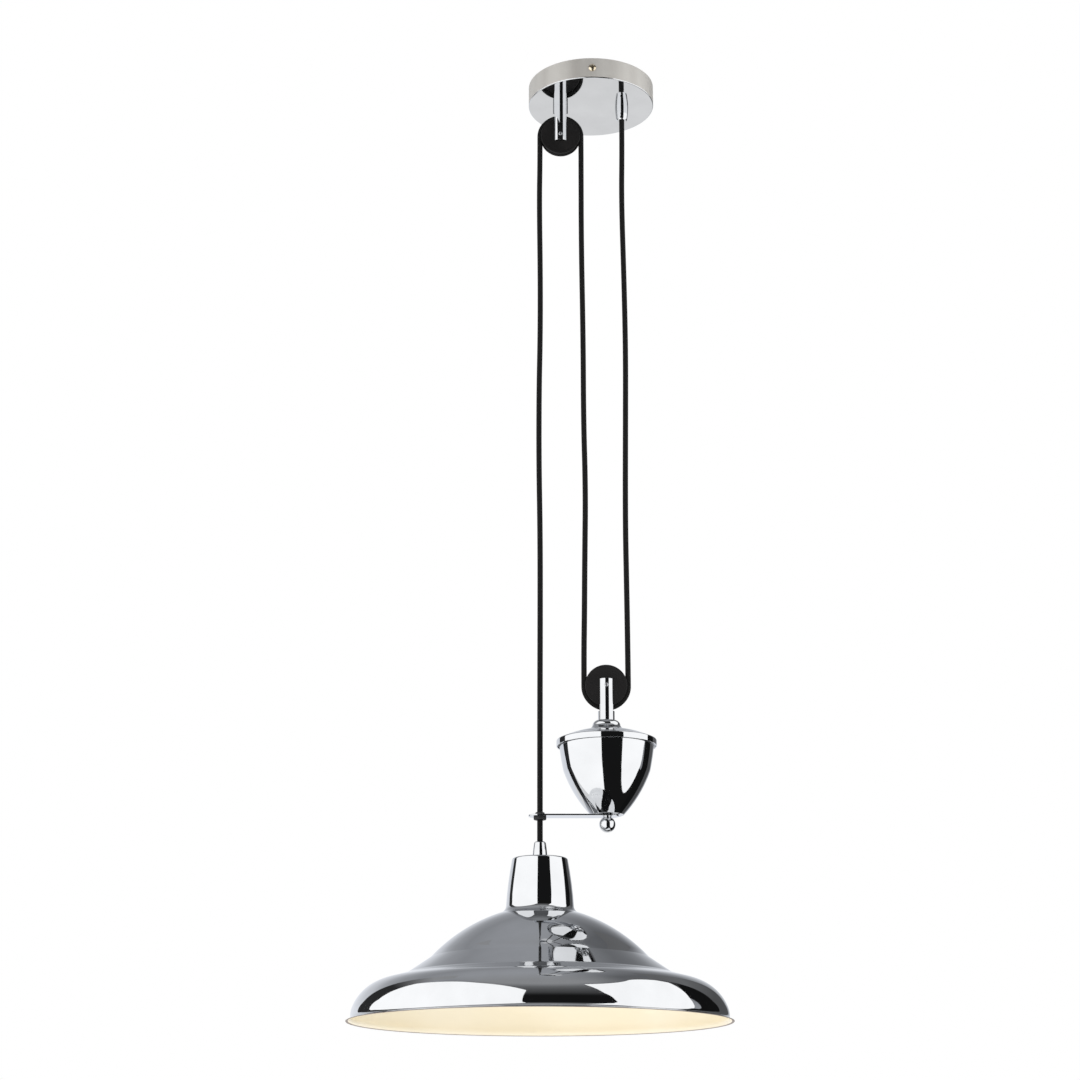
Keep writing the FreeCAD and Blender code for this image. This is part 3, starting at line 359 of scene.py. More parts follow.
white_nylon = moulded("white_nylon", (0.72, 0.72, 0.69, 1), (0.82, 0.82, 0.79, 1))
brass = brass_finish("turned_brass", (0.56, 0.38, 0.15, 1), (0.80, 0.60, 0.30, 1))
pale_brass = brass_finish("lacquered_brass", (0.80, 0.68, 0.48, 1), (0.94, 0.86, 0.70, 1))
core_sleeve = moulded("core_sleeve", (0.20, 0.09, 0.04, 1), (0.26, 0.12, 0.06, 1))
dress(white_nylon, "terminal_block")
dress(brass, "terminal_screws", "earth_screw", "holder_screws", "centre_contact")
dress(pale_brass, "rose_side_screws")
dress(core_sleeve, "rose_cores", "lamp_cores")

# The rose: a shallow pressed steel cup, chrome plated. Its side is brushed to a warm satin and its
# face is polished like a mirror.
HOLD = 0.0004
ARC_STEP = 2.5
FEWEST_ARC_STEPS = 4
ON_AXIS = 1e-7


def profile_of(outline, second):
    """The spots along an outline, with its arcs in short steps, and the finish that starts at each.
    Straight stretches have a spot close to each end, which keeps them straight under the gloss."""
    profile = []
    finishes = []
    for number, corner in enumerate(outline):
        start = Vector(corner[:2])
        end = Vector(outline[(number + 1) % len(outline)][:2])
        sagitta = corner[2] if len(corner) > 2 else 0.0
        chord = end - start
        spots = [start]
        if sagitta:
            left = Vector((-chord.y, chord.x)).normalized()
            radius = (chord.length ** 2 / 4 + sagitta ** 2) / (2 * sagitta)
            centre = (start + end) / 2 - left * (radius - sagitta)
            first = start - centre
            sweep = -4 * math.atan2(2 * sagitta, chord.length)
            count = max(FEWEST_ARC_STEPS, int(abs(math.degrees(sweep)) / ARC_STEP))
            for step in range(1, count):
                turn = sweep * step / count
                spots.append(centre + Vector((first.x * math.cos(turn) - first.y * math.sin(turn),
                                              first.x * math.sin(turn) + first.y * math.cos(turn))))
        elif chord.length > 4 * HOLD:
            spots += [start + chord.normalized() * HOLD, end - chord.normalized() * HOLD]
        profile += spots
        finishes += [int(number in second)] * len(spots)
    return profile, finishes


def turned(name, outline, x=0.0, z=0.0, flip=1, steps=160, edge=0.0003, second=()):
    """Spin an outline of (radius, height, sagitta of the arc to the next corner) about a plumb line.
    Faces that start at the corners whose numbers are in second get finish two."""
    profile, finishes = profile_of(outline, second)
    shape = bmesh.new()
    rings = []
    for spot in profile:
        if spot.x < ON_AXIS:
            rings.append([shape.verts.new((x, 0, z + flip * spot.y))])
            continue
        ring = []
        for step in range(steps):
            turn = 2 * math.pi * step / steps
            place = (x + spot.x * math.cos(turn), spot.x * math.sin(turn), z + flip * spot.y)
            ring.append(shape.verts.new(place))
        rings.append(ring)
    for ring, following, finish_number in zip(rings, rings[1:] + rings[:1], finishes):
        for step in range(steps):
            ahead = (step + 1) % steps
            corners = [ring[step % len(ring)], ring[ahead % len(ring)],
                       following[ahead % len(following)], following[step % len(following)]]
            corners = list(dict.fromkeys(corners))
            if len(corners) > 2:
                face = shape.faces.new(corners)
                face.smooth = True
                face.material_index = finish_number
    bmesh.ops.recalc_face_normals(shape, faces=shape.faces)
    mesh = bpy.data.meshes.new(name)
    shape.to_mesh(mesh)
    shape.free()
    piece = link(mesh, name)
    if edge:
        soften(piece, edge)
    return piece


def soften(piece, edge, angle=28):
    """Break the sharp edges with a small round, as plating and polishing do."""
    rounding = piece.modifiers.new("broken_edges", "BEVEL")
    rounding.width = edge
    rounding.segments = 3
    rounding.limit_method = "ANGLE"
    rounding.angle_limit = math.radians(angle)
    rounding.harden_normals = True


def finish_piece(piece, finish, slot, body, *nodes):
    piece.data.materials.append(finish)
    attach(piece, body)
    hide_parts(*nodes)


def chrome_plate(name, tint=(0.72, 0.73, 0.745), rough=0.035, ripple=0.00002):
    """Bright chrome over polished steel: a faint ripple from the spinning, and light wiping marks."""
    finish, t = new_finish(name)
    cloud = t["noise"](35.0, 4.0)
    darker = tuple(0.93 * value for value in tint)
    wire(t, t["ramp"](cloud, (0.3, (*darker, 1)), (0.7, (*tint, 1))), "Base Color")
    wipes = t["noise"](160.0, 5.0, (1, 1, 0.25))
    wire(t, t["ramp"](wipes, (0.35, rough * 0.6), (0.75, rough * 1.9)), "Roughness")
    t["coat"].inputs["Metallic"].default_value = 1.0
    t["relief"](t["noise"](26.0, 1.0), ripple)
    return finish


chrome = chrome_plate("bright_chrome")
rose_low, rose_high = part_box("rose_cover")
rose_radius = rose_high.x
ROSE_WALL = 0.001
ROSE_CORNER = 0.0009
QUARTER_SAGITTA = 0.2929
rose_cover = turned("rose_cup", [
    (0, rose_low.z),
    (rose_radius - ROSE_CORNER, rose_low.z, -ROSE_CORNER * QUARTER_SAGITTA),
    (rose_radius, rose_low.z + ROSE_CORNER),
    (rose_radius, 0),
    (rose_radius - ROSE_WALL, 0),
    (rose_radius - ROSE_WALL, rose_low.z + ROSE_WALL),
    (0, rose_low.z + ROSE_WALL),
], steps=256, edge=0.0002, second=[2])


def satin_plate(name):
    """A warm satin plate, rubbed along the axis, with broad faint bands."""
    finish, t = new_finish(name)
    bands = t["noise"](34.0, 3.0, (1, 1, 0.03))
    wire(t, t["ramp"](bands, (0.3, (0.50, 0.48, 0.45, 1)), (0.7, (0.66, 0.645, 0.61, 1))), "Base Color")
    rubbed = t["noise"](700.0, 3.0, (1, 1, 0.04))
    wire(t, t["ramp"](rubbed, (0.3, 0.34), (0.7, 0.48)), "Roughness")
    t["coat"].inputs["Metallic"].default_value = 0.3
    t["relief"](rubbed, 0.00002)
    return finish


satin = satin_plate("satin_side")
finish_piece(rose_cover, chrome, "polished_chrome", "ceiling_rose", "rose_cover")
rose_cover.data.materials.append(satin)

# The forks: turned steel bar, chromed, slotted for the pulley and bored across for its pin. The
# pins are zinc plated steel with low domed ends.
FORK_RADIUS = 0.008
FORK_BASE = 0.009
FORK_LENGTH = 0.0405
FORK_SLOT = 0.0096
SAW_REACH = 0.02
SAW_PAST_END = 0.01
PIN_RADIUS = 0.002
PIN_DOME = 0.0005
PIN_FLAT = 0.55


def cut_away(piece, tool):
    """Take one shape out of another for good."""
    cutting = piece.modifiers.new("cut", "BOOLEAN")
    cutting.object = tool
    cutting.solver = "EXACT"
    evaluated = piece.evaluated_get(bpy.context.evaluated_depsgraph_get())
    mesh = bpy.data.meshes.new_from_object(evaluated)
    piece.modifiers.clear()
    old = piece.data
    piece.data = mesh
    bpy.data.meshes.remove(old)
    bpy.data.objects.remove(tool)


def block_of(low, high):
    shape = bmesh.new()
    bmesh.ops.create_cube(shape, size=1.0)
    for vertex in shape.verts:
        vertex.co = Vector([low[i] + (high[i] - low[i]) * (vertex.co[i] + 0.5) for i in range(3)])
    mesh = bpy.data.meshes.new("cutter")
    shape.to_mesh(mesh)
    shape.free()
    return link(mesh, "cutter")


def smooth(piece):
    for face in piece.data.polygons:
        face.use_smooth = True


def pulley_fork(name, node, body, x, base_z, up):
    fork = turned(name, [
        (0, 0),
        (FORK_RADIUS, 0),
        (FORK_RADIUS, FORK_LENGTH),
        (0, FORK_LENGTH),
    ], x=x, z=base_z, flip=up, steps=96, edge=0)
    low_z, high_z = sorted((base_z + up * FORK_BASE, base_z + up * (FORK_LENGTH + SAW_PAST_END)))
    cut_away(fork, block_of((x - SAW_REACH, -FORK_SLOT / 2, low_z), (x + SAW_REACH, FORK_SLOT / 2, high_z)))
    smooth(fork)
    soften(fork, 0.0005)
    finish_piece(fork, chrome, "polished_chrome", body, node)


pulley_fork("fork_in_the_rose", "upper_fork", "ceiling_rose", upper_axle.x, rose_low.z, -1)
lower_fork_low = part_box("lower_fork")[0].z
pulley_fork("fork_on_the_weight", "lower_fork", "counterweight", lower_axle.x, lower_fork_low, 1)


def turned_across(name, outline, x, z, **settings):
    """Spin an outline about a line from front to back."""
    piece = turned(name, outline, **settings)
    for vertex in piece.data.vertices:
        across, deep, high = vertex.co
        vertex.co = (x + across, high, z - deep)
    return piece


def pin(name, node, body, axle):
    piece = turned_across(name, [
        (0, -FORK_RADIUS - PIN_DOME),
        (PIN_RADIUS * PIN_FLAT, -FORK_RADIUS - PIN_DOME),
        (PIN_RADIUS, -FORK_RADIUS),
        (PIN_RADIUS, FORK_RADIUS),
        (PIN_RADIUS * PIN_FLAT, FORK_RADIUS + PIN_DOME),
        (0, FORK_RADIUS + PIN_DOME),
    ], axle.x, axle.z, steps=48, edge=0.0002)
    finish_piece(piece, zinc, "bare_steel", body, node)


pin("pin_in_the_rose_fork", "upper_axle", "ceiling_rose", upper_axle)
pin("pin_in_the_weight_fork", "lower_axle", "counterweight", lower_axle)

# The pulleys: matt black moulded wheels, 41 mm across and 9 mm thick. Each runs on its pin inside a
# fork's slot, and has a round groove that takes a third of the flex's thickness.
PULLEY_RADIUS = 0.0205
PULLEY_HALF = 0.0045
PULLEY_BORE = PIN_RADIUS + 0.00005
PULLEY_CHAMFER = 0.0005
GROOVE_RADIUS = 0.0029
GROOVE_OUT = 0.0008333


def wheel(name, node, body, axle):
    mouth = math.sqrt(GROOVE_RADIUS ** 2 - GROOVE_OUT ** 2)
    piece = turned_across(name, [
        (PULLEY_BORE, -PULLEY_HALF),
        (PULLEY_RADIUS - PULLEY_CHAMFER, -PULLEY_HALF),
        (PULLEY_RADIUS, PULLEY_CHAMFER - PULLEY_HALF),
        (PULLEY_RADIUS, -mouth, GROOVE_RADIUS - GROOVE_OUT),
        (PULLEY_RADIUS, mouth),
        (PULLEY_RADIUS, PULLEY_HALF - PULLEY_CHAMFER),
        (PULLEY_RADIUS - PULLEY_CHAMFER, PULLEY_HALF),
        (PULLEY_BORE, PULLEY_HALF),
    ], axle.x, axle.z, steps=144, edge=0.0002)
    finish_piece(piece, black_nylon, "black_plastic", body, node)


black_nylon = moulded("black_nylon", (0.007, 0.0065, 0.0065, 1), (0.011, 0.010, 0.010, 1), 0.55)
black_nylon.node_tree.nodes["Principled BSDF"].inputs["Specular IOR Level"].default_value = 0.25
wheel("wheel_in_the_rose_fork", "upper_pulley", "upper_wheel", upper_axle)
wheel("wheel_in_the_weight_fork", "lower_pulley", "lower_wheel", lower_axle)

# The cord grips: turned brass, chromed, slightly barrelled and bored for the flex. In the side of
# each, a black grub screw with a socket bites on the flex.
GRIP_LENGTH = 0.0158
GRIP_BASE = 0.007
GRIP_END = 0.0056
GRIP_BULGE = 0.0003
GRIP_BORE = FLEX_DIA / 2 + 0.00015
GRIP_CHAMFER = 0.001
GRUB_HOLE = 0.00152
GRUB_PLACE = 0.010
GRUB_DEPTHS = (0.002, 0.012)
STUD_RADIUS = 0.005
STUD_LENGTH = 0.0085


def cord_grip(name, node, body, x, base_z, up, screw_side):
    piece = turned(name, [
        (GRIP_BORE, -STUD_LENGTH),
        (STUD_RADIUS, -STUD_LENGTH),
        (STUD_RADIUS, 0),
        (GRIP_BASE, 0, -GRIP_BULGE),
        (GRIP_END, GRIP_LENGTH - GRIP_CHAMFER),
        (GRIP_END - GRIP_CHAMFER, GRIP_LENGTH),
        (GRIP_BORE, GRIP_LENGTH),
    ], x=x, z=base_z, flip=up, steps=96, edge=0)
    near, far = sorted(screw_side * depth for depth in GRUB_DEPTHS)
    hole = turned_across("cutter", [(0, near), (GRUB_HOLE, near), (GRUB_HOLE, far), (0, far)], x,
                         base_z + up * GRUB_PLACE, steps=48, edge=0)
    cut_away(piece, hole)
    smooth(piece)
    soften(piece, 0.0002)
    finish_piece(piece, chrome, "polished_chrome", body, node)


def black_oxide(name):
    finish, t = new_finish(name)
    cloud = t["noise"](900.0, 4.0)
    wire(t, t["ramp"](cloud, (0.3, (0.010, 0.010, 0.011, 1)), (0.7, (0.022, 0.021, 0.022, 1))), "Base Color")
    wire(t, t["ramp"](t["noise"](1400.0, 3.0), (0.3, 0.34), (0.7, 0.5)), "Roughness")
    t["coat"].inputs["Metallic"].default_value = 0.7
    t["relief"](t["noise"](2000.0, 3.0), 0.00002)
    return finish


cord_grip("grip_in_the_rose", "rose_cord_grip", "ceiling_rose", grip_x, rose_low.z, -1, -1)
shade_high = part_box("shade")[1]
cord_grip("grip_on_the_shade", "shade_cord_grip", "lamp", lamp_x, shade_high.z, 1, 1)
dress(black_oxide("black_oxide"), "rose_grip_screw", "shade_grip_screw")

# The counterweight: a pressed lid with a small crown for the fork and a turned-down lip, over a
# spun bowl filled with cast iron. Both are chromed steel.
lid_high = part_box("weight_lid")[1]
weight_x = lower_axle.x
lid = turned("counterweight_lid", [
    (0, 0),
    (0.0086, 0, 0.0013),
    (0.0135, -0.0050, -0.0010),
    (0.0200, -0.0100, 0.0009),
    (0.0467, -0.0189, 0.00045),
    (0.0482, -0.0204),
    (0.0482, -0.0251),
    (0.0472, -0.0251),
    (0.0472, -0.0204),
    (0.0200, -0.0111),
    (0, -0.0111),
], x=weight_x, z=lid_high.z, steps=256, edge=0.0002)
finish_piece(lid, chrome, "polished_chrome", "counterweight", "weight_lid")
bowl = turned("counterweight_bowl", [
    (0.0471, -0.0225),
    (0.0454, -0.0225),
    (0.0454, -0.0251, 0.0003),
    (0.0415, -0.0491, 0.0025),
    (0.0157, -0.0915),
    (0.0032, -0.0915),
    (0.0032, -0.0905),
    (0.0150, -0.0905, -0.0025),
    (0.0405, -0.0488, -0.0003),
    (0.0444, -0.0250),
    (0.0444, -0.0215),
    (0.0471, -0.0215),
], x=weight_x, z=lid_high.z, steps=256, edge=0.0004)
finish_piece(bowl, chrome, "polished_chrome", "counterweight", "weight_shell")


def grey_iron(name):
    finish, t = new_finish(name)
    cloud = t["noise"](240.0, 6.0)
    wire(t, t["ramp"](cloud, (0.3, (0.07, 0.07, 0.07, 1)), (0.7, (0.16, 0.155, 0.15, 1))), "Base Color")
    t["coat"].inputs["Metallic"].default_value = 0.8
    t["coat"].inputs["Roughness"].default_value = 0.7
    t["relief"](t["noise"](700.0, 5.0), 0.0002)
    return finish


dress(grey_iron("sand_cast_iron"), "weight_core")

# The guide arm: a flat chromed bar with round ends, held between the bowl and the ball nut. A
# rubber grommet in its far end slides on the lamp's flex.
arm_low, arm_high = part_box("guide_arm")


def flat_bar(name, low, high, steps=32):
    shape = bmesh.new()
    half = (high.y - low.y) / 2
    ring = []
    for centre, start in ((high.x - half, -90), (low.x + half, 90)):
        for step in range(steps + 1):
            turn = math.radians(start + 180 * step / steps)
            ring.append(shape.verts.new((centre + half * math.cos(turn), half * math.sin(turn), low.z)))
    base = shape.faces.new(ring)
    raised = bmesh.ops.extrude_face_region(shape, geom=[base])
    for thing in raised["geom"]:
        if isinstance(thing, bmesh.types.BMVert):
            thing.co.z = high.z
    bmesh.ops.recalc_face_normals(shape, faces=shape.faces)
    for face in shape.faces:
        face.smooth = True
    mesh = bpy.data.meshes.new(name)
    shape.to_mesh(mesh)
    shape.free()
    return link(mesh, name)


GROMMET_BORE = 0.0033
GROMMET_BODY = 0.00405
GROMMET_FLANGE = 0.00605
DRILL_REACH = 0.01
arm = flat_bar("guide_bar", arm_low, arm_high)
grommet_hole = turned("cutter", [
    (0, -DRILL_REACH),
    (GROMMET_BODY, -DRILL_REACH),
    (GROMMET_BODY, DRILL_REACH),
    (0, DRILL_REACH),
], x=lamp_x, z=arm_low.z, steps=64, edge=0)
cut_away(arm, grommet_hole)
smooth(arm)
soften(arm, 0.00035)
finish_piece(arm, chrome, "polished_chrome", "counterweight", "guide_arm")
grommet = turned("grommet", [
    (GROMMET_BORE, -0.0030),
    (0.00545, -0.0030, -0.00025),
    (GROMMET_FLANGE, -0.0021),
    (GROMMET_FLANGE, 0),
    (GROMMET_BODY, 0),
    (GROMMET_BODY, 0.0015),
    (0.00465, 0.0015),
    (0.00430, 0.0040),
    (GROMMET_BORE, 0.0040),
], x=lamp_x, z=arm_low.z, steps=64, edge=0.0003)
rubber = moulded("black_rubber", (0.012, 0.012, 0.012, 1), (0.018, 0.018, 0.018, 1), 0.6, 1500.0)
finish_piece(grommet, rubber, "black_rubber", "counterweight", "arm_grommet")

# The ball nut: turned brass, chromed, 15.5 mm across, on a short neck. It screws onto the rod under
# the guide arm and closes the stack.
BALL_RADIUS = 0.00775
BALL_NECK = 0.004
ball_low, ball_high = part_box("ball_finial")
neck_at = BALL_RADIUS + math.sqrt(BALL_RADIUS ** 2 - BALL_NECK ** 2)
ball_turns = [math.radians(turn) for turn in range(0, 146, 3)]
ball_spots = [(BALL_RADIUS * math.sin(turn), BALL_RADIUS - BALL_RADIUS * math.cos(turn))
              for turn in ball_turns]
ball = turned("ball_nut", ball_spots + [
    (BALL_NECK, neck_at),
    (BALL_NECK, ball_high.z - ball_low.z),
    (0, ball_high.z - ball_low.z),
], x=weight_x, z=ball_low.z, steps=96, edge=0.0002)
finish_piece(ball, chrome, "polished_chrome", "counterweight", "ball_finial")

# The shade: spun from steel sheet, chromed outside and cream enamelled inside. From the top: a
# flat end, a tall neck, a domed shoulder, a short cone, a low ledge, a rolled edge and a thin lip.
SHADE_WALL = 0.0007
shade_corners = [
    (0.0052, 0),
    (0.0245, 0, 0.0006),
    (0.0265, -0.0020, 0.0007),
    (0.0320, -0.0460, -0.0016),
    (0.0400, -0.0526, 0.0046),
    (0.1025, -0.0935),
    (0.1245, -0.1083, -0.00016),
    (0.1280, -0.1098),
    (0.1440, -0.1141, 0.00513),
    (0.174223, -0.13963, 0.00035),
    (0.1756, -0.14713),
    (0.1756, -0.1482, -0.0009),
    (0.1800, -0.1518),
]


def inner_face(corners, wall):
    """The same corners moved inwards by the wall, in the other direction."""
    moved = []
    for number, corner in enumerate(corners):
        before = Vector(corners[max(number - 1, 0)][:2])
        after = Vector(corners[min(number + 1, len(corners) - 1)][:2])
        way = (after - before).normalized()
        sagitta = -corners[number - 1][2] if number and len(corners[number - 1]) > 2 else 0.0
        moved.append((corner[0] + way.y * wall, corner[1] - way.x * wall, sagitta))
    return list(reversed(moved))


inner_from = len(shade_corners)
shade = turned("spun_shade", shade_corners + inner_face(shade_corners, SHADE_WALL), x=lamp_x, z=shade_high.z,
               steps=384, edge=0.0002, second=range(inner_from, 2 * inner_from - 1))


def cream_enamel(name):
    finish, t = new_finish(name)
    cloud = t["noise"](9.0, 2.0)
    wire(t, t["ramp"](cloud, (0.3, (0.93, 0.835, 0.63, 1)), (0.7, (0.95, 0.875, 0.71, 1))), "Base Color")
    wire(t, t["ramp"](t["noise"](120.0, 3.0), (0.3, 0.3), (0.7, 0.38)), "Roughness")
    t["relief"](t["noise"](220.0, 1.0), 0.00002)
    return finish


def bare_lip_painted_shade(name):
    """The lip's bare plated edge, darkened to a dull brown-grey as a painted shade line along the rim."""
    finish, t = new_finish(name)
    patches = t["noise"](90.0, 4.0)
    wire(t, t["ramp"](patches, (0.3, (0.24, 0.185, 0.155, 1)), (0.7, (0.36, 0.30, 0.26, 1))), "Base Color")
    wire(t, t["ramp"](t["noise"](400.0, 3.0), (0.3, 0.35), (0.7, 0.55)), "Roughness")
    t["coat"].inputs["Metallic"].default_value = 0.3
    t["relief"](t["noise"](1500.0, 3.0), 0.00002)
    return finish


enamel = cream_enamel("cream_enamel")
finish_piece(shade, chrome, "polished_chrome", "lamp", "shade")
shade.data.materials.append(enamel)
shade.data.materials.append(bare_lip_painted_shade("bare_lip_painted_shade"))
# The faces at the lip's end take the brown-grey painted shade line.
for face in shade.data.polygons:
    if face.center.z < shade_high.z + shade_corners[-1][1]:
        face.material_index = 2

# The lampholder: a black moulded cap that clamps the shade's flat end, a black skirt and a white
# ceramic insert. The screw shell for the lamp is thin brass with a rolled thread.
black_phenolic = moulded("black_phenolic", (0.010, 0.010, 0.010, 1), (0.016, 0.016, 0.016, 1), 0.28)
ceramic = moulded("white_ceramic", (0.70, 0.69, 0.65, 1), (0.80, 0.79, 0.75, 1), 0.45)
dress(black_phenolic, "holder_cap", "holder_skirt")
dress(ceramic, "holder_insert")
shell_low, shell_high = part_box("screw_shell")
THREAD_PITCH = 0.00363
THREAD_DEPTH = 0.0007
THREAD_WALL = 0.0004
THREAD_RADIUS = 0.01375
THREAD_TOP = -0.0052
THREAD_STEPS = 60
THREAD_END = 0.0002
SHELL_NECK = 0.0105
SHELL_HOLE = 0.008
shell_height = shell_high.z - shell_low.z
thread_length = THREAD_TOP - THREAD_END + shell_height
thread_heights = [THREAD_TOP + thread_length * -step / THREAD_STEPS for step in range(THREAD_STEPS + 1)]
screw_shell = turned("rolled_screw_shell", [
    (SHELL_HOLE, 0),
    (SHELL_NECK + THREAD_WALL, 0),
    (SHELL_NECK + THREAD_WALL, -0.0015),
    *((THREAD_RADIUS, height) for height in thread_heights),
    (THREAD_RADIUS, -shell_height),
    (THREAD_RADIUS - THREAD_WALL, -shell_height),
    *((THREAD_RADIUS - THREAD_WALL, height) for height in reversed(thread_heights)),
    (SHELL_NECK, -0.0017),
    (SHELL_NECK, -THREAD_WALL),
    (SHELL_HOLE, -THREAD_WALL),
], x=lamp_x, z=shell_high.z, steps=96, edge=0)
for vertex in screw_shell.data.vertices:
    across = Vector((vertex.co.x - lamp_x, vertex.co.y))
    depth = shell_high.z + THREAD_TOP - vertex.co.z
    if depth < 0:
        continue
    wave = math.cos(2 * math.pi * depth / THREAD_PITCH - math.atan2(across.y, across.x))
    ends = min(1.0, depth / THREAD_PITCH, (vertex.co.z - shell_low.z) / (THREAD_PITCH / 2))
    across *= 1 - THREAD_DEPTH * ends * (0.5 - 0.5 * wave) / across.length
    vertex.co.x = lamp_x + across.x
    vertex.co.y = across.y
finish_piece(screw_shell, brass, "brass", "lamp", "screw_shell")

# The studio: two pale panels stand left and right of the lamp, with dark flags beside them, in a
# grey room with a black velvet on its floor in front. Only polished metal sees the flags, the room
# and the velvet.
TENT_RADIUS = 0.73
TENT_TOP = 0.36
TENT_X = -0.02
LAMP_LEVEL = -0.9
ROOM_RADIUS = 9.0
ROOM_SKIRT = 0.9
FLOOR_Z = -3.0
VELVET_REACH = (0.35, 8.95)
VELVET_RISE = 0.05
COOL_TINT = (0.985, 1.0, 1.03)


def glow(name, colour, strength):
    finish = bpy.data.materials.new(name)
    finish.use_nodes = True
    tree = finish.node_tree
    tree.nodes.clear()
    lamp = tree.nodes.new("ShaderNodeEmission")
    lamp.inputs["Color"].default_value = (*colour, 1)
    lamp.inputs["Strength"].default_value = strength
    out = tree.nodes.new("ShaderNodeOutputMaterial")
    tree.links.new(lamp.outputs[0], out.inputs[0])
    return finish


def fade(tree, value, low, high, *stops):
    """A grey ramp over a value's range from low to high."""
    share = tree.nodes.new("ShaderNodeMapRange")
    share.inputs["From Min"].default_value = low
    share.inputs["From Max"].default_value = high
    tree.links.new(value, share.inputs["Value"])
    made = tree.nodes.new("ShaderNodeValToRGB")
    while len(made.color_ramp.elements) < len(stops):
        made.color_ramp.elements.new(0.5)
    for element, (place, grey) in zip(made.color_ramp.elements, stops):
        element.position = (place - low) / (high - low)
        element.color = (*(grey * part for part in COOL_TINT), 1)
    tree.links.new(share.outputs[0], made.inputs[0])
    return made.outputs[0]


def position(tree):
    places = tree.nodes.new("ShaderNodeNewGeometry")
    split = tree.nodes.new("ShaderNodeSeparateXYZ")
    tree.links.new(places.outputs["Position"], split.inputs[0])
    return split.outputs


def faded(name, low, high, *stops):
    """A glow whose grey follows the height."""
    finish = glow(name, (1, 1, 1), 1.0)
    tree = finish.node_tree
    tree.links.new(fade(tree, position(tree)[2], low, high, *stops), tree.nodes["Emission"].inputs["Color"])
    return finish


def stage_piece(name, corners, faces, finish, lights_room=False):
    mesh = bpy.data.meshes.new(name)
    mesh.from_pydata(corners, [], faces)
    mesh.materials.append(finish)
    piece = link(mesh, name)
    piece.visible_camera = False
    piece.visible_shadow = False
    piece.visible_diffuse = lights_room
    piece.visible_transmission = False
    return piece


def tent_panel(name, first, last, finish, low, high, lights_room=False, radius=TENT_RADIUS, steps=48):
    """An upright panel bent about the lamp. Angles are from the camera's side, to the right; low and
    high give its edges at an angle."""
    corners = []
    faces = []
    for step in range(steps + 1):
        angle = first + (last - first) * step / steps
        turn = math.radians(angle)
        for height in (low(angle), high(angle)):
            corners.append((TENT_X + radius * math.sin(turn), -radius * math.cos(turn), height))
        if step:
            end = len(corners)
            faces.append((end - 4, end - 2, end - 1, end - 3))
    return stage_piece(name, corners, faces, finish, lights_room)


def past(angle, start, span):
    """How far an angle has gone past a start, in spans, and nothing before it."""
    return max(0.0, (angle - start) / span)


def left_low(angle):
    return -1.85 + past(angle, -40, -73) ** 2


def left_high(angle):
    return TENT_TOP - 0.62 * past(angle, -62, 50.4) ** 2 - 0.6 * past(angle, -70, -40) ** 2


def right_low(angle):
    """A round bulge below the middle, and a slant that rises towards the back."""
    half = 31.9 if angle < 70 else 25.5
    bulge = math.sqrt(max(0.0, 1 - ((angle - 70.1) / half) ** 2))
    return -0.80 - 0.6 * bulge + 0.6 * past(angle, 96, 26.8) ** 0.68


def right_high(angle):
    return TENT_TOP - 0.4 * past(angle, 100, 22) ** 2


pale_panel = glow("pale_panel", (1.0, 1.0, 1.0), 1.32)
tent_panel("panel_left", -110, -11.6, pale_panel, low=left_low, high=left_high, lights_room=True)
tent_panel("panel_right", 38.2, 122, pale_panel, low=right_low, high=right_high, lights_room=True,
           radius=TENT_RADIUS - 0.005)
flag_left = faded("flag_left", -0.6, 0.2, (-0.45, 0.03), (-0.2, 0.2), (0.0, 0.33))
flag_right = faded("flag_right", -0.6, 0.2, (-0.35, 0.008), (-0.05, 0.15))
tent_panel("dark_flag_left", -128, -110, flag_left, low=lambda angle: -1.35, high=lambda angle: TENT_TOP)
tent_panel("dark_flag_right", 102, 127, flag_right, low=lambda angle: -1.6, high=lambda angle: TENT_TOP)
flag_behind = faded("flag_behind", -0.9, 0.2, (-0.7, 0.09), (-0.4, 0.16), (0.0, 0.15))
tent_panel("grey_flag_right", 127, 150, flag_behind, low=lambda angle: -1.6, high=lambda angle: 0.0)


def room_glow(name):
    """The far room: dark in front, pale low behind, grey overhead, and darker behind on the right."""
    finish = glow(name, (1, 1, 1), 1.0)
    tree = finish.node_tree
    across, deep, high = position(tree)
    rise = (LAMP_LEVEL - ROOM_RADIUS, LAMP_LEVEL + ROOM_RADIUS)
    level = [LAMP_LEVEL + ROOM_RADIUS * math.sin(math.radians(angle)) for angle in range(0, 91)]
    breadth = (-ROOM_RADIUS, ROOM_RADIUS)
    front = fade(tree, high, *rise, (level[30], 0.01), (level[37], 0.03), (level[46], 0.07),
                 (level[53], 0.11), (level[60], 0.17), (level[69], 0.33))
    back = fade(tree, high, *rise, (level[8], 0.9), (level[23], 0.66), (level[30], 0.46), (level[36], 0.37),
                (level[45], 0.31), (level[57], 0.36), (level[70], 0.38))
    side = fade(tree, across, *breadth, (0.05 * ROOM_RADIUS, 1.0), (0.35 * ROOM_RADIUS, 0.42))
    turn = fade(tree, deep, *breadth, (-0.15 * ROOM_RADIUS, 0.0), (0.3 * ROOM_RADIUS, 1.0))
    mixed = tree.nodes.new("ShaderNodeMix")
    mixed.data_type = "RGBA"
    shaded = tree.nodes.new("ShaderNodeMix")
    shaded.data_type = "RGBA"
    shaded.blend_type = "MULTIPLY"
    shaded.inputs[0].default_value = 1.0
    # Inputs 6 and 7 of a mix take the two colours, and output 2 gives the mixed one.
    tree.links.new(back, shaded.inputs[6])
    tree.links.new(side, shaded.inputs[7])
    tree.links.new(turn, mixed.inputs[0])
    tree.links.new(front, mixed.inputs[6])
    tree.links.new(shaded.outputs[2], mixed.inputs[7])
    tree.links.new(mixed.outputs[2], tree.nodes["Emission"].inputs["Color"])
    return finish


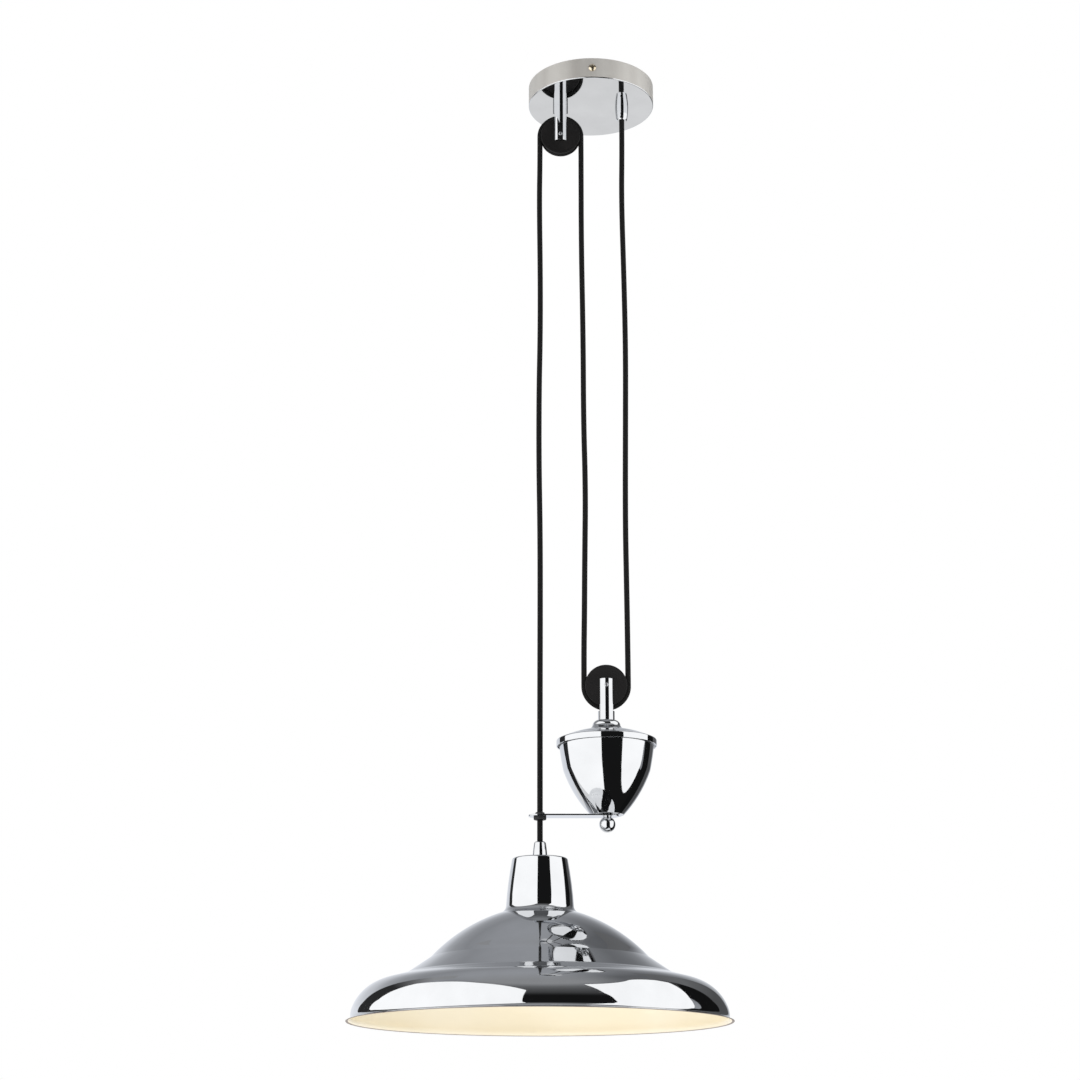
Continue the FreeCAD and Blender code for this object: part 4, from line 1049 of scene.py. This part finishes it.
room_shape = bmesh.new()
bmesh.ops.create_uvsphere(room_shape, u_segments=48, v_segments=32, radius=ROOM_RADIUS)
bmesh.ops.translate(room_shape, verts=room_shape.verts, vec=(0, 0, LAMP_LEVEL))
under_floor = [vertex for vertex in room_shape.verts if vertex.co.z < FLOOR_Z - ROOM_SKIRT]
bmesh.ops.delete(room_shape, geom=under_floor, context="VERTS")
room_corners = [tuple(vertex.co) for vertex in room_shape.verts]
room_shape.verts.index_update()
room_faces = [[vertex.index for vertex in face.verts] for face in room_shape.faces]
room_shape.free()
stage_piece("far_room", room_corners, room_faces, room_glow("far_room"))
velvet = []
for degrees in range(-20, 125, 6):
    turn = math.radians(degrees)
    for reach in VELVET_REACH:
        velvet.append((reach * math.sin(turn), -reach * math.cos(turn), FLOOR_Z + VELVET_RISE))
stage_piece("dark_floor_flag", velvet, [(i, i + 1, i + 3, i + 2) for i in range(0, len(velvet) - 2, 2)],
            glow("black_velvet", (1, 1, 1), 0.01))

# The lamps: a soft disc below lights the enamel and the undersides, and a very broad light overhead
# lights the floor. Polished metal sees neither of them.
FILL_WIDTH = 1.6
FILL_WATTS = 6.0
FILL_PLACE = (-0.35, -0.3, -2.6)
OVERHEAD_STRENGTH = 1.5
OVERHEAD_SPREAD = 70
fill = bpy.data.lights.new("fill", "AREA")
fill.shape = "DISK"
fill.size = FILL_WIDTH
fill.energy = FILL_WATTS
fill_lamp = bpy.data.objects.new("fill", fill)
fill_lamp.location = FILL_PLACE
fill_lamp.rotation_euler = (math.radians(180), 0, 0)
fill_lamp.visible_glossy = False
fill_lamp.visible_camera = False
bpy.context.scene.collection.objects.link(fill_lamp)
soft_sun = bpy.data.lights.new("overhead", "SUN")
soft_sun.energy = OVERHEAD_STRENGTH
soft_sun.angle = math.radians(OVERHEAD_SPREAD)
overhead = bpy.data.objects.new("overhead", soft_sun)
overhead.location = (0, 0, 2)
overhead.visible_glossy = False
bpy.context.scene.collection.objects.link(overhead)

# The floor and the backdrop: a wide matt floor in pale paint, well below the lamp, and plain white
# all round. Polished metal sees the floor nearly as bright as the backdrop.
FLOOR_REACH = 60
FLOOR_SHINE = 0.87
ROOM_LIGHT = 0.55


def seen_by(tree, *rays):
    """One for the kinds of ray that are named, and nothing for the rest."""
    path = tree.nodes.new("ShaderNodeLightPath")
    seen = path.outputs[rays[0]]
    for ray in rays[1:]:
        either = tree.nodes.new("ShaderNodeMath")
        either.operation = "MAXIMUM"
        tree.links.new(seen, either.inputs[0])
        tree.links.new(path.outputs[ray], either.inputs[1])
        seen = either.outputs[0]
    return seen


def pale_floor(name):
    finish = bpy.data.materials.new(name)
    finish.use_nodes = True
    tree = finish.node_tree
    paint = tree.nodes["Principled BSDF"]
    paint.inputs["Base Color"].default_value = (0.86, 0.86, 0.86, 1)
    paint.inputs["Roughness"].default_value = 0.9
    light = tree.nodes.new("ShaderNodeEmission")
    light.inputs["Strength"].default_value = FLOOR_SHINE
    mix = tree.nodes.new("ShaderNodeMixShader")
    tree.links.new(seen_by(tree, "Is Glossy Ray", "Is Transmission Ray"), mix.inputs[0])
    tree.links.new(paint.outputs[0], mix.inputs[1])
    tree.links.new(light.outputs[0], mix.inputs[2])
    tree.links.new(mix.outputs[0], tree.nodes["Material Output"].inputs[0])
    return finish


def white_air(tree, strength):
    made = tree.nodes.new("ShaderNodeBackground")
    made.inputs["Color"].default_value = (1, 1, 1, 1)
    made.inputs["Strength"].default_value = strength
    return made.outputs[0]


floor_corners = [(across * FLOOR_REACH, deep * FLOOR_REACH, FLOOR_Z)
                 for across, deep in ((-1, -1), (1, -1), (1, 1), (-1, 1))]
floor_mesh = bpy.data.meshes.new("floor")
floor_mesh.from_pydata(floor_corners, [], [(0, 1, 2, 3)])
floor_mesh.materials.append(pale_floor("pale_floor"))
floor = link(floor_mesh, "floor")
world = bpy.data.worlds.new("room")
bpy.context.scene.world = world
world.use_nodes = True
room = world.node_tree
room.nodes.clear()
backdrop = room.nodes.new("ShaderNodeMixShader")
room.links.new(seen_by(room, "Is Camera Ray", "Is Glossy Ray", "Is Transmission Ray"), backdrop.inputs[0])
room.links.new(white_air(room, ROOM_LIGHT), backdrop.inputs[1])
room.links.new(white_air(room, 1.0), backdrop.inputs[2])
room_out = room.nodes.new("ShaderNodeOutputWorld")
room.links.new(backdrop.outputs[0], room_out.inputs[0])

bpy.context.scene.view_settings.view_transform = "Standard"
